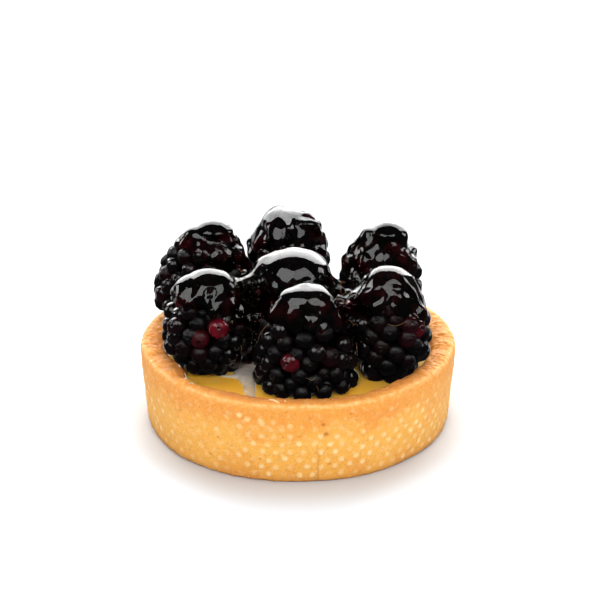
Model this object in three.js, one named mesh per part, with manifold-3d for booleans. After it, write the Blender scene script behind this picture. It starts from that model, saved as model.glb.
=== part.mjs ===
// A small round tart: a baked crust shell filled with custard, with seven bramble berries standing on it.
// Millimetres, +Z up. The crust stands on z = 0 with its axis on the Z axis, and -Y is the front.

import * as THREE from 'three';
import { ConvexHull } from 'three/addons/math/ConvexHull.js';
import { mergeVertices } from 'three/addons/utils/BufferGeometryUtils.js';
import Module from 'manifold-3d';

const wasm = await Module();
wasm.setup();

// ---- Driving dimensions ----

const RIM_RADIUS = 37.5; // a 75 mm tart ring
const CRUST_HEIGHT = 20;
const FOOT_INSET = 1.3; // how much narrower the wall is where it meets the underside
const RIM_WIDTH = 6.4; // from the outer wall in to the inner wall, at the custard
const BASE_THICKNESS = 3.6;
const CUSTARD_LEVEL = 17;
const GAP = 0.3; // between touching pieces
const RIM_RELIEF = 0.35; // the most that the rim's waves and creases move its surface
const CRUST_SIDES = 96;
const CUSTARD_SIDES = 60;
const POCKET_SIDES = 18;

const DRUPELET_RADIUS = 2.4; // the beads that a bramble berry is made of
const DRUPELET_PITCH = 4.82;
const DRUPELET_SPREAD = 0.16; // spread of the bead sizes, as a share
const SPIRAL_END = THREE.MathUtils.degToRad(146); // the beads stop round the stem scar underneath
const CORE_SHARE = 0.8; // the berry's body inside its beads
const DOME_SHARE = 0.66; // where a bead's ring of points lies between its tip and its corners
const POCKET_WALL = 1.3; // height of the berry's foot that the custard may hold

// Each berry stands on its stem end. x and y place its foot, width and depth are across X and Y,
// waist is the share of the height at which it is widest, tip and base are the exponents of its
// rounding (2 is an ellipse, more is boxier), and lean turns it about its foot toward +X and +Y.
const BERRIES = [
  { name: 'berry_front', x: 1.3, y: -18.9, foot: 16.2, width: 24.6, depth: 22.4, height: 25.2,
    waist: 0.26, tip: 1.85, base: 2.7, lean: [2.4, 0] },
  { name: 'berry_front_left', x: -20.9, y: -10.0, foot: 16.2, width: 21.8, depth: 21, height: 25.2,
    waist: 0.38, tip: 1.9, base: 2.6, lean: [-2, 0] },
  { name: 'berry_front_right', x: 21.5, y: -12.3, foot: 16.2, width: 20.2, depth: 20.6, height: 26.6,
    waist: 0.4, tip: 2.05, base: 3.2, lean: [-2, 0] },
  { name: 'berry_back_left', x: -25.9, y: 12.6, foot: 17.2, width: 24, depth: 22.4, height: 27.8,
    waist: 0.36, tip: 1.9, base: 2.5, lean: [13, 0] },
  { name: 'berry_back', x: -1.6, y: 22.2, foot: 16.2, width: 21.6, depth: 20.8, height: 28.4,
    waist: 0.45, tip: 2.3, base: 2.5, lean: [-3, 0] },
  { name: 'berry_back_right', x: 19.8, y: 11.6, foot: 16.2, width: 21.2, depth: 21, height: 28.2,
    waist: 0.38, tip: 2.0, base: 2.4, lean: [1, 0] },
  { name: 'berry_middle', x: -1.0, y: 2.2, foot: 16.2, width: 20.8, depth: 20, height: 25,
    waist: 0.42, tip: 2.15, base: 2.4, lean: [0, 0] },
];

const crustMaterial = new THREE.MeshStandardMaterial({ color: '#eda451', roughness: 0.85, metalness: 0 });
const custardMaterial = new THREE.MeshStandardMaterial({ color: '#cf9530', roughness: 0.4, metalness: 0 });
const berryMaterial = new THREE.MeshStandardMaterial({ color: '#17121a', roughness: 0.3, metalness: 0 });

// ---- Helpers ----

// A repeatable draw between 0 and 1.
function draw(seed) {
  const wave = Math.sin(seed * 127.1 + 311.7) * 43758.5453;
  return wave - Math.floor(wave);
}

function profileGeometry(profile, sides) {
  const points = profile.map(([radius, height]) => new THREE.Vector2(radius, height));
  const geometry = new THREE.LatheGeometry(points, sides);
  geometry.rotateX(Math.PI / 2);
  return geometry;
}

// Merges shared vertices and drops the flat triangles that a turned profile leaves on its axis.
function weld(geometry) {
  geometry.deleteAttribute('normal');
  geometry.deleteAttribute('uv');
  const welded = mergeVertices(geometry, 1e-4);
  const kept = [];
  for (let first = 0; first < welded.index.count; first += 3) {
    const [a, b, c] = welded.index.array.slice(first, first + 3);
    if (a !== b && b !== c && c !== a) kept.push(a, b, c);
  }
  welded.setIndex(kept);
  return welded;
}

function toSolid(geometry) {
  const welded = weld(geometry.clone());
  const vertProperties = new Float32Array(welded.attributes.position.array);
  const triVerts = new Uint32Array(welded.index.array);
  return new wasm.Manifold(new wasm.Mesh({ numProp: 3, vertProperties, triVerts }));
}

function fromSolid(solid) {
  const mesh = solid.getMesh();
  const geometry = new THREE.BufferGeometry();
  geometry.setAttribute('position', new THREE.BufferAttribute(mesh.vertProperties, 3));
  geometry.setIndex(new THREE.BufferAttribute(mesh.triVerts, 1));
  return geometry;
}

function namedMesh(name, geometry, material) {
  const mesh = new THREE.Mesh(geometry, material);
  mesh.name = name;
  return mesh;
}

// ---- Crust ----

const FOOT_RADIUS = RIM_RADIUS - FOOT_INSET;
const INNER_RADIUS = RIM_RADIUS - RIM_WIDTH;

// The rim's top slopes inward from the outer edge to the custard. The last number of each point
// says how much of the rim's relief it takes.
const RIM_PROFILE = [
  [RIM_RADIUS - 0.05, CRUST_HEIGHT - 1.7, 0.2],
  [RIM_RADIUS - 0.2, CRUST_HEIGHT - 0.6, 0.5],
  [RIM_RADIUS - 0.8, CRUST_HEIGHT, 0.7],
  [RIM_RADIUS - 2.5, CRUST_HEIGHT + 0.05, 1],
  [RIM_RADIUS - 4.0, CRUST_HEIGHT - 0.1, 1],
  [RIM_RADIUS - 5.2, CRUST_HEIGHT - 0.5, 1],
  [RIM_RADIUS - 6.0, CRUST_HEIGHT - 1.9, 0.6],
];

const CRUST_PROFILE = [
  [0, 0, 0],
  [FOOT_RADIUS - 1.3, 0, 0],
  [FOOT_RADIUS - 0.4, 0.25, 0],
  [FOOT_RADIUS, 0.9, 0],
  [FOOT_RADIUS + 0.5 * FOOT_INSET, 0.45 * CRUST_HEIGHT, 0],
  ...RIM_PROFILE,
  [INNER_RADIUS, CUSTARD_LEVEL - 1, 0],
  [INNER_RADIUS - 0.6, BASE_THICKNESS + 1.6, 0],
  [INNER_RADIUS - 1.8, BASE_THICKNESS + 0.2, 0],
  [0, BASE_THICKNESS, 0],
];

// Every term of the outline repeats an even number of times, so opposite sides match and the
// crust stays centred on its axis.
function outlineWave(angle) {
  return 0.16 * Math.sin(2 * angle + 0.6) + 0.1 * Math.sin(6 * angle + 2.1) + 0.07 * Math.sin(10 * angle + 0.9);
}

function rimWave(angle) {
  const swell = 0.16 * Math.sin(2 * angle + 1) + 0.12 * Math.sin(7 * angle + 0.3);
  const creases = (0.04 + 0.12 * Math.abs(Math.cos(angle))) * Math.sin(31 * angle + 2 * Math.sin(5 * angle));
  return THREE.MathUtils.clamp(swell + creases, -RIM_RELIEF, RIM_RELIEF);
}

function makeCrust() {
  const geometry = profileGeometry(CRUST_PROFILE, CRUST_SIDES);
  const position = geometry.attributes.position;
  for (let index = 0; index < position.count; index++) {
    const [radius, height, relief] = CRUST_PROFILE[index % CRUST_PROFILE.length];
    const angle = Math.atan2(position.getY(index), position.getX(index));
    const outside = radius > INNER_RADIUS ? outlineWave(angle) * (radius / RIM_RADIUS) : 0;
    position.setX(index, (radius + outside) * Math.cos(angle));
    position.setY(index, (radius + outside) * Math.sin(angle));
    position.setZ(index, height + relief * rimWave(angle));
  }
  return namedMesh('crust', weld(geometry), crustMaterial);
}

// ---- Berries ----

const rimLine = RIM_PROFILE.map(([radius, height]) => new THREE.Vector2(radius, height));
rimLine.push(new THREE.Vector2(INNER_RADIUS, CUSTARD_LEVEL - 1));

function distanceToRim(place) {
  const point = new THREE.Vector2(Math.hypot(place.x, place.y), place.z);
  let nearest = Infinity;
  for (let index = 1; index < rimLine.length; index++) {
    const start = rimLine[index - 1];
    const side = rimLine[index].clone().sub(start);
    const along = THREE.MathUtils.clamp(point.clone().sub(start).dot(side) / side.lengthSq(), 0, 1);
    nearest = Math.min(nearest, point.distanceTo(side.multiplyScalar(along).add(start)));
  }
  return nearest;
}

function lean(vector, berry) {
  const [towardX, towardY] = berry.lean.map(THREE.MathUtils.degToRad);
  return vector.applyAxisAngle(new THREE.Vector3(0, 1, 0), towardX)
    .applyAxisAngle(new THREE.Vector3(1, 0, 0), -towardY);
}

function unlean(vector, berry) {
  const [towardX, towardY] = berry.lean.map(THREE.MathUtils.degToRad);
  return vector.applyAxisAngle(new THREE.Vector3(1, 0, 0), towardY)
    .applyAxisAngle(new THREE.Vector3(0, 1, 0), -towardX);
}

function berryCentre(berry) {
  return lean(new THREE.Vector3(0, 0, berry.waist * berry.height), berry)
    .add(new THREE.Vector3(berry.x, berry.y, berry.foot));
}

// How far the smooth outer form of a berry reaches from its centre along a direction.
function envelopeReach(berry, direction) {
  const own = unlean(direction.clone(), berry);
  const exponent = own.z > 0 ? berry.tip : berry.base;
  const half = berry.height * (own.z > 0 ? 1 - berry.waist : berry.waist);
  const across = Math.hypot(2 * own.x / berry.width, 2 * own.y / berry.depth);
  return (across ** exponent + Math.abs(own.z / half) ** exponent) ** (-1 / exponent);
}

// Where two neighbours would meet, each stops at a plane shared between them by their sizes.
function contactPlanes(berry) {
  const centre = berryCentre(berry);
  return BERRIES.filter((other) => other !== berry).map((other) => {
    const way = berryCentre(other).sub(centre);
    const distance = way.length();
    way.normalize();
    const own = envelopeReach(berry, way);
    const theirs = envelopeReach(other, way.clone().negate());
    return { way, offset: distance * own / (own + theirs) - GAP / 2 };
  });
}

// The farthest that the centre of a ball can go from the berry's centre along a direction, with
// the ball inside the berry's form, clear of its neighbours, of its own foot and of the rim.
function ballReach(berry, direction, ball) {
  let reach = envelopeReach(berry, direction) - ball;
  for (const { way, offset } of berry.planes) {
    const closing = direction.dot(way);
    if (closing > 0) reach = Math.min(reach, (offset - ball) / closing);
  }
  if (direction.z < 0) reach = Math.min(reach, (berry.centre.z - berry.foot - ball) / -direction.z);
  const place = new THREE.Vector3();
  const clear = ball + GAP + RIM_RELIEF;
  while (distanceToRim(place.copy(direction).multiplyScalar(reach).add(berry.centre)) < clear) reach -= 0.1;
  return reach;
}

// Polar angles that share the berry's surface equally between the beads of a spiral.
function spiralAngles(berry) {
  const steps = 240;
  const ring = (berry.width + berry.depth) / 4;
  const profileAt = (polar) => {
    const direction = new THREE.Vector3(Math.sin(polar), 0, Math.cos(polar));
    const exponent = direction.z > 0 ? berry.tip : berry.base;
    const half = berry.height * (direction.z > 0 ? 1 - berry.waist : berry.waist);
    const across = (direction.x / ring) ** exponent + Math.abs(direction.z / half) ** exponent;
    return direction.multiplyScalar(across ** (-1 / exponent));
  };
  const areas = [0];
  for (let step = 1; step <= steps; step++) {
    const start = profileAt(SPIRAL_END * (step - 1) / steps);
    const end = profileAt(SPIRAL_END * step / steps);
    areas.push(areas[step - 1] + Math.PI * (start.x + end.x) * start.distanceTo(end));
  }
  const count = Math.round(areas[steps] / (Math.sqrt(3) / 2 * DRUPELET_PITCH ** 2));
  const angles = [];
  for (let bead = 0, step = 0; bead < count; bead++) {
    const share = areas[steps] * (bead + 0.5) / count;
    while (areas[step + 1] < share) step++;
    const part = (share - areas[step]) / (areas[step + 1] - areas[step]);
    angles.push(SPIRAL_END * (step + part) / steps);
  }
  return angles;
}

// The beads' directions from the berry's centre, on a spiral with a little disorder, and the scar.
function beadDirections(berry, seed) {
  const golden = Math.PI * (3 - Math.sqrt(5));
  const disorder = 0.05;
  const directions = spiralAngles(berry).map((polar, bead) => {
    const turn = bead * golden + seed;
    const direction = new THREE.Vector3().setFromSphericalCoords(1, polar, turn).applyAxisAngle(
      new THREE.Vector3(1, 0, 0), Math.PI / 2);
    direction.x += disorder * (draw(seed + 3 * bead) - 0.5);
    direction.y += disorder * (draw(seed + 3 * bead + 1) - 0.5);
    direction.z += disorder * (draw(seed + 3 * bead + 2) - 0.5);
    return lean(direction.normalize(), berry);
  });
  directions.push(lean(new THREE.Vector3(0, 0, -1), berry));
  return directions;
}

function beadSurface(berry, direction) {
  let reach = CORE_SHARE * ballReach(berry, direction, 0);
  for (const { centre, radius } of berry.beads) {
    const along = direction.dot(centre);
    const missed = centre.lengthSq() - along * along;
    if (missed < radius * radius) reach = Math.max(reach, along + Math.sqrt(radius * radius - missed));
  }
  return direction.clone().multiplyScalar(reach).add(berry.centre);
}

// The triangles round each bead, in order, from the hull of the beads' directions.
function cornersAround(directions) {
  const numbers = new Map(directions.map((direction, index) => [direction, index]));
  const next = directions.map(() => new Map());
  const corners = [];
  for (const face of new ConvexHull().setFromPoints(directions).faces) {
    const ring = [];
    let edge = face.edge;
    do {
      ring.push(numbers.get(edge.head().point));
      edge = edge.next;
    } while (edge !== face.edge);
    const corner = corners.length;
    corners.push(ring.reduce((sum, index) => sum.add(directions[index]), new THREE.Vector3()).normalize());
    ring.forEach((index, place) => {
      const [left, right] = [ring[(place + 1) % 3], ring[(place + 2) % 3]];
      next[index].set(left, { right, corner });
    });
  }
  const around = next.map((links) => {
    const first = links.keys().next().value;
    const order = [];
    let link = first;
    do {
      const { right, corner } = links.get(link);
      order.push(corner);
      link = right;
    } while (link !== first);
    return order;
  });
  return { corners, around };
}

function makeBerry(berry) {
  const seed = 10 * (1 + BERRIES.indexOf(berry));
  const directions = beadDirections(berry, seed);
  berry.beads = directions.slice(0, -1).map((direction, bead) => {
    const radius = DRUPELET_RADIUS * (1 + DRUPELET_SPREAD * (draw(seed + 7 * bead + 0.5) - 0.5));
    return { radius, centre: direction.clone().multiplyScalar(ballReach(berry, direction, radius)) };
  });
  const { corners, around } = cornersAround(directions);
  const points = corners.map((corner) => beadSurface(berry, corner));
  const triangles = [];
  directions.forEach((direction, bead) => {
    const tip = points.push(beadSurface(berry, direction)) - 1;
    const ring = around[bead].map((corner) => {
      const middle = direction.clone().lerp(corners[corner], DOME_SHARE).normalize();
      return points.push(beadSurface(berry, middle)) - 1;
    });
    around[bead].forEach((corner, place) => {
      const following = (place + 1) % ring.length;
      triangles.push(tip, ring[place], ring[following]);
      triangles.push(ring[place], corner, around[bead][following]);
      triangles.push(ring[place], around[bead][following], ring[following]);
    });
  });
  const geometry = new THREE.BufferGeometry().setFromPoints(points);
  geometry.setIndex(triangles);
  return namedMesh(berry.name, geometry, berryMaterial);
}

// ---- Custard ----

// The widest that a berry's smooth form is at a height above its foot, as a share of its width.
function widthShare(berry, rise) {
  const low = berry.waist * berry.height;
  return (1 - (1 - rise / low) ** berry.base) ** (1 / berry.base);
}

function makePocket(berry) {
  const share = widthShare(berry, POCKET_WALL);
  const pocket = new THREE.CylinderGeometry(1, 0.94, POCKET_WALL + GAP, POCKET_SIDES);
  pocket.rotateX(Math.PI / 2);
  pocket.scale(share * berry.width / 2 + 2 * GAP, share * berry.depth / 2 + 2 * GAP, 1);
  pocket.translate(berry.x, berry.y, berry.foot + (POCKET_WALL - GAP) / 2);
  return toSolid(pocket);
}

function makeCustard() {
  const edge = INNER_RADIUS - GAP;
  const profile = [
    [0, BASE_THICKNESS + GAP + 0.1],
    [edge - 1.9, BASE_THICKNESS + GAP + 0.2],
    [edge - 0.8, BASE_THICKNESS + 1.8],
    [edge - 0.1, CUSTARD_LEVEL - 1],
    [edge - 0.6, CUSTARD_LEVEL],
    [0, CUSTARD_LEVEL],
  ];
  let solid = toSolid(profileGeometry(profile, CUSTARD_SIDES));
  for (const berry of BERRIES) solid = solid.subtract(makePocket(berry));
  return namedMesh('filling', fromSolid(solid), custardMaterial);
}

// ---- The tart ----

for (const berry of BERRIES) berry.centre = berryCentre(berry);
for (const berry of BERRIES) berry.planes = contactPlanes(berry);

const tart = new THREE.Group();
tart.add(makeCrust());
tart.add(makeCustard());
for (const berry of BERRIES) tart.add(makeBerry(berry));

export default tart;
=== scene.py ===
# %% [markdown]
# # A glazed berry tart
# A small tart of four kinds of thing: a baked crust, a custard filling, bramble berries made of
# shiny beads, and a clear glaze poured over them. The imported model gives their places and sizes.
# Everything here is in metres, in that model's frame, and small lengths are written as so many MM.

# %% The frame
import bmesh
import bpy
import math
import numpy as np
from functools import partial
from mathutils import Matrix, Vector, noise


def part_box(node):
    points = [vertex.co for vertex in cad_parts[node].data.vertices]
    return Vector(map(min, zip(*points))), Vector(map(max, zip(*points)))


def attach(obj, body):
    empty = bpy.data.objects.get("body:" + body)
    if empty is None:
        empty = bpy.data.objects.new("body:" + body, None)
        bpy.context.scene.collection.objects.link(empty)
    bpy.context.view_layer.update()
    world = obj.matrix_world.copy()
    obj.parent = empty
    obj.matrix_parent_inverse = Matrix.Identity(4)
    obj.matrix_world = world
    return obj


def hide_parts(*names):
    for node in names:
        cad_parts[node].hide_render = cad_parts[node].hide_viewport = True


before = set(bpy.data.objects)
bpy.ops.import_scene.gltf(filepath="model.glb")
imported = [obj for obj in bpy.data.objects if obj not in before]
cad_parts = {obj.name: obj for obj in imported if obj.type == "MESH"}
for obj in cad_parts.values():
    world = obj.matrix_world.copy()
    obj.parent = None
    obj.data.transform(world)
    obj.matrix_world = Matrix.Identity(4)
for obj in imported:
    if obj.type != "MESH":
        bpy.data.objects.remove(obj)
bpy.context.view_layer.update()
MM = 0.001

# %% [markdown]
# ## The view
# A tart this small is seen from close by through a long lens, looking down at about 24 degrees,
# so the wall, the rim and the tops of the berries all show. A long lens keeps the round rim an even
# ellipse. Its focal length is given in pixels here, and the sensor's width turns it into millimetres.

# %% The camera
CAMERA_PLACE = Vector((0.0, -400.8 * MM, 204.6 * MM))
CAMERA_PITCH = math.radians(23.59)
CAMERA_YAW = math.radians(0.065)
PIXELS_WIDE = 600
FOCAL_PIXELS = 1837.4

camera_data = bpy.data.cameras.new("camera")
camera_data.sensor_width = 36
camera_data.lens = FOCAL_PIXELS * camera_data.sensor_width / PIXELS_WIDE
camera_data.clip_start = 10 * MM
camera = bpy.data.objects.new("camera", camera_data)
camera.location = CAMERA_PLACE
camera.rotation_euler = (math.pi / 2 - CAMERA_PITCH, 0, -CAMERA_YAW)
bpy.context.scene.collection.objects.link(camera)
bpy.context.scene.camera = camera
bpy.context.scene.view_settings.view_transform = "Standard"
print("the lens is", round(camera_data.lens, 1), "mm")

# %% [markdown]
# ## Helpers for nodes
# Materials and Geometry Nodes are both trees of nodes. One helper adds a node, sets its options and
# fills its inputs, either with a value or with another node's output. The others wrap the nodes that
# come up again and again: sums, mixed colours, soft steps, noise and bumps. They keep every tree short.

# %% Adding nodes
def fill(tree, socket, value):
    if isinstance(value, bpy.types.NodeSocket):
        tree.links.new(value, socket)
    else:
        socket.default_value = value


def put(tree, kind, inputs=None, **options):
    made = tree.nodes.new(kind)
    for name, value in options.items():
        setattr(made, name, value)
    for name, value in (inputs or {}).items():
        fill(tree, made.inputs[name], value)
    return made


def worked_out(tree, operation, *values):
    made = put(tree, "ShaderNodeMath", dict(enumerate(values)), operation=operation)
    return made.outputs["Value"]


def ranged(tree, value, low, high, to_low=0.0, to_high=1.0):
    """A soft step: to_low where the value is under low, to_high where it is over high."""
    made = put(tree, "ShaderNodeMapRange", {"Value": value, "From Min": low, "From Max": high,
                                            "To Min": to_low, "To Max": to_high},
               interpolation_type="SMOOTHSTEP")
    return made.outputs["Result"]


def same_thrice(tree, value):
    return put(tree, "ShaderNodeCombineXYZ", {"X": value, "Y": value, "Z": value}).outputs["Vector"]

# %% Nodes for materials
def new_material(name):
    material = bpy.data.materials.new(name)
    material.use_nodes = True
    material.node_tree.nodes.clear()
    return material, material.node_tree


def object_place(tree):
    return put(tree, "ShaderNodeTexCoord").outputs["Object"]


def stored(tree, name, output="Fac"):
    return put(tree, "ShaderNodeAttribute", attribute_name=name).outputs[output]


def mixed(tree, factor, first, second, blend_type="MIX"):
    made = put(tree, "ShaderNodeMix", data_type="RGBA", blend_type=blend_type)
    for index, value in zip((0, 6, 7), (factor, first, second)):
        fill(tree, made.inputs[index], value)
    return made.outputs[2]


def speckle(tree, place, per_metre, detail=3.0, roughness=0.55):
    made = put(tree, "ShaderNodeTexNoise", {"Vector": place, "Scale": per_metre, "Detail": detail,
                                            "Roughness": roughness})
    return made.outputs["Fac"]


def bumped(tree, height, strength, depth, under=None):
    """A bump of a given depth in millimetres, on top of another one if there is one."""
    inputs = {"Height": height, "Strength": strength, "Distance": depth * MM}
    if under is not None:
        inputs["Normal"] = under
    return put(tree, "ShaderNodeBump", inputs).outputs["Normal"]


def finish_material(tree, look, volume=None):
    """Ends a material in the usual shader, whose inputs are given by their names."""
    shader = put(tree, "ShaderNodeBsdfPrincipled", look)
    output = put(tree, "ShaderNodeOutputMaterial", {"Surface": shader.outputs["BSDF"]})
    if volume is not None:
        tree.links.new(volume, output.inputs["Volume"])


def simple_material(name, colour, roughness, gloss=0.5):
    material, tree = new_material(name)
    finish_material(tree, {"Base Color": colour, "Roughness": roughness, "Specular IOR Level": gloss})
    return material

# %% [markdown]
# ## Helpers for meshes
# Most pieces here are grids of points moved by formulas, so numpy works out the points and one
# helper turns them into an object. Its origin stays at the frame's origin, and its place is in its mesh.

# %% Making an object from points and faces
def make_piece(name, points, faces, material):
    mesh = bpy.data.meshes.new(name)
    mesh.from_pydata((np.asarray(points) * MM).tolist(), [], faces)
    mesh.validate()
    mesh.shade_smooth()
    mesh.materials.append(material)
    piece = bpy.data.objects.new(name, mesh)
    bpy.context.scene.collection.objects.link(piece)
    return piece


def give_attribute(piece, name, values):
    attribute = piece.data.attributes.new(name, "FLOAT", "POINT")
    attribute.data.foreach_set("value", np.asarray(values, np.float32))


def read_all(items, name, wide=3):
    """One value of every vertex or face, as rows of so many numbers."""
    values = np.empty(len(items) * wide, np.float32)
    items.foreach_get(name, values)
    return values.reshape(-1, wide)


def bumps(points, size, seed, octaves=3):
    """Smooth random values between about -1 and 1, with features of a given size."""
    moved = np.asarray(points) / size + seed * 17.3
    return np.array([noise.fractal(Vector(point), 0.9, 2.0, octaves) for point in moved])


def smoothstep(low, high, value):
    share = np.clip((value - low) / (high - low), 0, 1)
    return share * share * (3 - 2 * share)

# %% [markdown]
# ## The studio
# The tart stands on white paper under soft light. What makes glaze look wet is what it mirrors, so
# the lights come in two kinds. Panels and wings are there to be mirrored: a broad one behind draws
# white bands along the tops of the berries, two above the front make grey panes, and two at the sides
# show on the flanks. Four fills, which nothing mirrors, light the crust, the custard and the paper. The
# room itself is dark, which keeps the berries black. For the same reason nothing mirrors the paper,
# the crust and the custard, and a dim panel stands in for the paper behind. The paper's colour holds
# painted shade: it is greyer near the tart and whiter farther out, so the tart's shadow stays short.

# %% Lights
TART_MIDDLE = Vector((0, 0, 0.02))


def add_light(name, place, width, height, brightness, mirrored=True, shines=True):
    """A panel that faces the tart. Its brightness is that of its face, whatever its size."""
    data = bpy.data.lights.new(name, "AREA")
    data.shape = "RECTANGLE"
    data.size = width
    data.size_y = height
    data.energy = brightness * math.pi * width * height
    light = bpy.data.objects.new(name, data)
    light.visible_glossy = mirrored
    light.visible_diffuse = shines
    light.location = place
    light.rotation_mode = "QUATERNION"
    light.rotation_quaternion = (TART_MIDDLE - Vector(place)).to_track_quat("-Z", "Y")
    bpy.context.scene.collection.objects.link(light)


add_light("back_panel", (0, 0.80, 0.38), 1.3, 0.74, 6.6)
add_light("low_panel", (0, 0.80, -0.20), 1.3, 0.44, 0.9, shines=False)
add_light("left_panel", (-0.37, -0.42, 0.80), 0.60, 0.58, 3.7, shines=False)
add_light("right_panel", (0.37, -0.42, 0.80), 0.60, 0.58, 3.3, shines=False)
add_light("left_wing", (-0.90, 0.42, 0.40), 0.30, 0.50, 5.5, shines=False)
add_light("right_wing", (0.90, 0.42, 0.40), 0.30, 0.50, 4.5, shines=False)
add_light("top_fill", (0, 0.28, 0.95), 1.0, 0.80, 2.6, mirrored=False)
add_light("front_fill", (0, -0.85, 0.74), 1.2, 0.50, 5.2, mirrored=False)
add_light("left_fill", (-0.90, -0.35, 0.42), 0.6, 0.5, 1.6, mirrored=False)
add_light("right_fill", (0.90, -0.35, 0.42), 0.6, 0.5, 2.4, mirrored=False)
print(len(bpy.data.lights), "lights")

# %% Paper and room
# Painted shade: the paper near the tart is greyer than the paper farther out.
PAPER_NEAR_SHADE = (0.65, 0.665, 0.68, 1)
PAPER_FAR = (0.85, 0.91, 0.97, 1)
ROOM_GREY = (0.04, 0.04, 0.04, 1)
FLOOR_HALF = 3000


def make_paper():
    material, tree = new_material("white_paper")
    reach = put(tree, "ShaderNodeVectorMath", {0: object_place(tree)}, operation="LENGTH").outputs["Value"]
    # Painted shade round the tart: the paper is grey near it and white from about 52 mm out.
    colour = mixed(tree, ranged(tree, reach, 37.5 * MM, 52 * MM), PAPER_NEAR_SHADE, PAPER_FAR)
    finish_material(tree, {"Base Color": colour, "Roughness": 0.9, "Specular IOR Level": 0.1})
    return material


corners = [(x * FLOOR_HALF, y * FLOOR_HALF, 0) for x, y in ((-1, -1), (1, -1), (1, 1), (-1, 1))]
floor = make_piece("floor", corners, [(0, 1, 2, 3)], make_paper())
floor.visible_glossy = False

world = bpy.data.worlds.new("room")
world.use_nodes = True
world.node_tree.nodes["Background"].inputs["Color"].default_value = ROOM_GREY
bpy.context.scene.world = world
print("the paper is", 2 * FLOOR_HALF * MM, "m wide")

# %% [markdown]
# ## The crust's pastry
# Baked shortcrust is golden with a fine grain. It is deeper orange toward the top, browns where it
# is thin or near the heat, on the rim and at the foot, and stays pale where the dough stood out.
# The brown colour also holds painted shade: in the pits, the join and the rim's creases, and on the
# front of the rim, which the berries shade. The pale part also holds a painted highlight along the
# rim's outer edge. Those three are stored on the mesh as attributes, and the grain is noise on
# Object coordinates.

# %% Pastry material
GOLD = (0.95, 0.470, 0.082, 1)
GOLD_DEEP = (0.92, 0.345, 0.050, 1)
PALE_CRUMB = (0.98, 0.67, 0.30, 1)
BAKED_BROWN = (0.50, 0.160, 0.040, 1)


def make_pastry():
    material, tree = new_material("pastry")
    place = object_place(tree)
    grain = speckle(tree, place, 2300, 4, 0.65)
    pale_specks = ranged(tree, speckle(tree, place, 780, 4, 0.62), 0.50, 0.78, 0.0, 0.55)
    dark_specks = ranged(tree, speckle(tree, place, 1250, 3, 0.6), 0.56, 0.80, 0.0, 0.50)
    colour = mixed(tree, stored(tree, "warmth"), GOLD, GOLD_DEEP)
    # The brown layer holds painted shade as well as real browning, and the pale layer holds a painted
    # highlight.
    for share, layer in ((pale_specks, PALE_CRUMB), (dark_specks, BAKED_BROWN),
                         (stored(tree, "browning_and_shade"), BAKED_BROWN), (stored(tree, "dots_and_edge_highlight"), PALE_CRUMB)):
        colour = mixed(tree, share, colour, layer)
    shade = same_thrice(tree, ranged(tree, grain, 0.25, 0.75, 0.86, 1.08))
    colour = mixed(tree, 1.0, colour, shade, "MULTIPLY")
    coarse = bumped(tree, speckle(tree, place, 700), 0.30, 0.28)
    finish_material(tree, {"Base Color": colour, "Roughness": 0.62, "Specular IOR Level": 0.35,
                           "Normal": bumped(tree, grain, 0.45, 0.10, coarse)})
    return material


pastry = make_pastry()
print(pastry.name, "has", len(pastry.node_tree.nodes), "nodes")

# %% [markdown]
# ## The crust's form
# The shell was pressed into a ring, so its wall is straight and smooth, its foot is a crisp edge,
# and its rim is a hand-cut slope with wrinkles where the dough gathered. One profile is turned
# round the axis, then every point is pushed along its normal: waves in the outline, creases across
# the rim, crumb, small pits, the join in the wall and a raised dot for each hole of the ring. It
# could be sculpted as well, but formulas can be read, and changed one number at a time.

# %% The crust's sizes
crust_low, crust_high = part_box("crust")
WAVE_ROOM = 0.19
WALL_TAPER = 1.3
WALL_THICKNESS = 6.4
RIM_RADIUS = round((crust_high.x - crust_low.x) / 2 / MM - WAVE_ROOM, 2)
FOOT_RADIUS = RIM_RADIUS - WALL_TAPER
INNER_RADIUS = RIM_RADIUS - WALL_THICKNESS
BASE_TOP = 3.6
CUSTARD_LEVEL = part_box("filling")[1].z / MM
CRUST_SIDES = 800
print("rim radius", RIM_RADIUS, "custard level", round(CUSTARD_LEVEL, 2))

# radius, height, rim relief, browning, points per millimetre
CRUST_PROFILE = [
    (2.0, 0.0, 0, 0.5, 0.1),
    (FOOT_RADIUS - 1.3, 0.0, 0, 0.6, 0.5),
    (FOOT_RADIUS - 0.35, 0.2, 0, 0.55, 3.0),
    (FOOT_RADIUS, 0.9, 0, 0.30, 3.0),
    (FOOT_RADIUS + 0.15, 3.0, 0, 0.06, 3.0),
    (FOOT_RADIUS + 0.65, 9.0, 0, 0.0, 3.0),
    (FOOT_RADIUS + 1.10, 15.0, 0.05, 0.06, 3.0),
    (RIM_RADIUS - 0.05, 18.4, 0.2, 0.10, 3.2),
    (RIM_RADIUS - 0.20, 19.5, 0.5, 0.02, 4.5),
    (RIM_RADIUS - 0.8, 20.0, 0.7, 0.0, 4.5),
    (RIM_RADIUS - 2.5, 20.05, 1, 0.40, 3.5),
    (RIM_RADIUS - 4.0, 19.9, 1, 0.54, 3.5),
    (RIM_RADIUS - 5.2, 19.5, 1, 0.60, 3.5),
    (RIM_RADIUS - 6.0, 18.1, 0.6, 0.68, 2.5),
    (INNER_RADIUS, CUSTARD_LEVEL - 1, 0.2, 0.2, 1.0),
    (INNER_RADIUS - 0.6, BASE_TOP + 1.6, 0, 0.0, 0.2),
    (INNER_RADIUS - 1.8, BASE_TOP + 0.2, 0, 0.0, 0.2),
    (2.0, BASE_TOP, 0, 0.0, 0.1),
]

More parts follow.
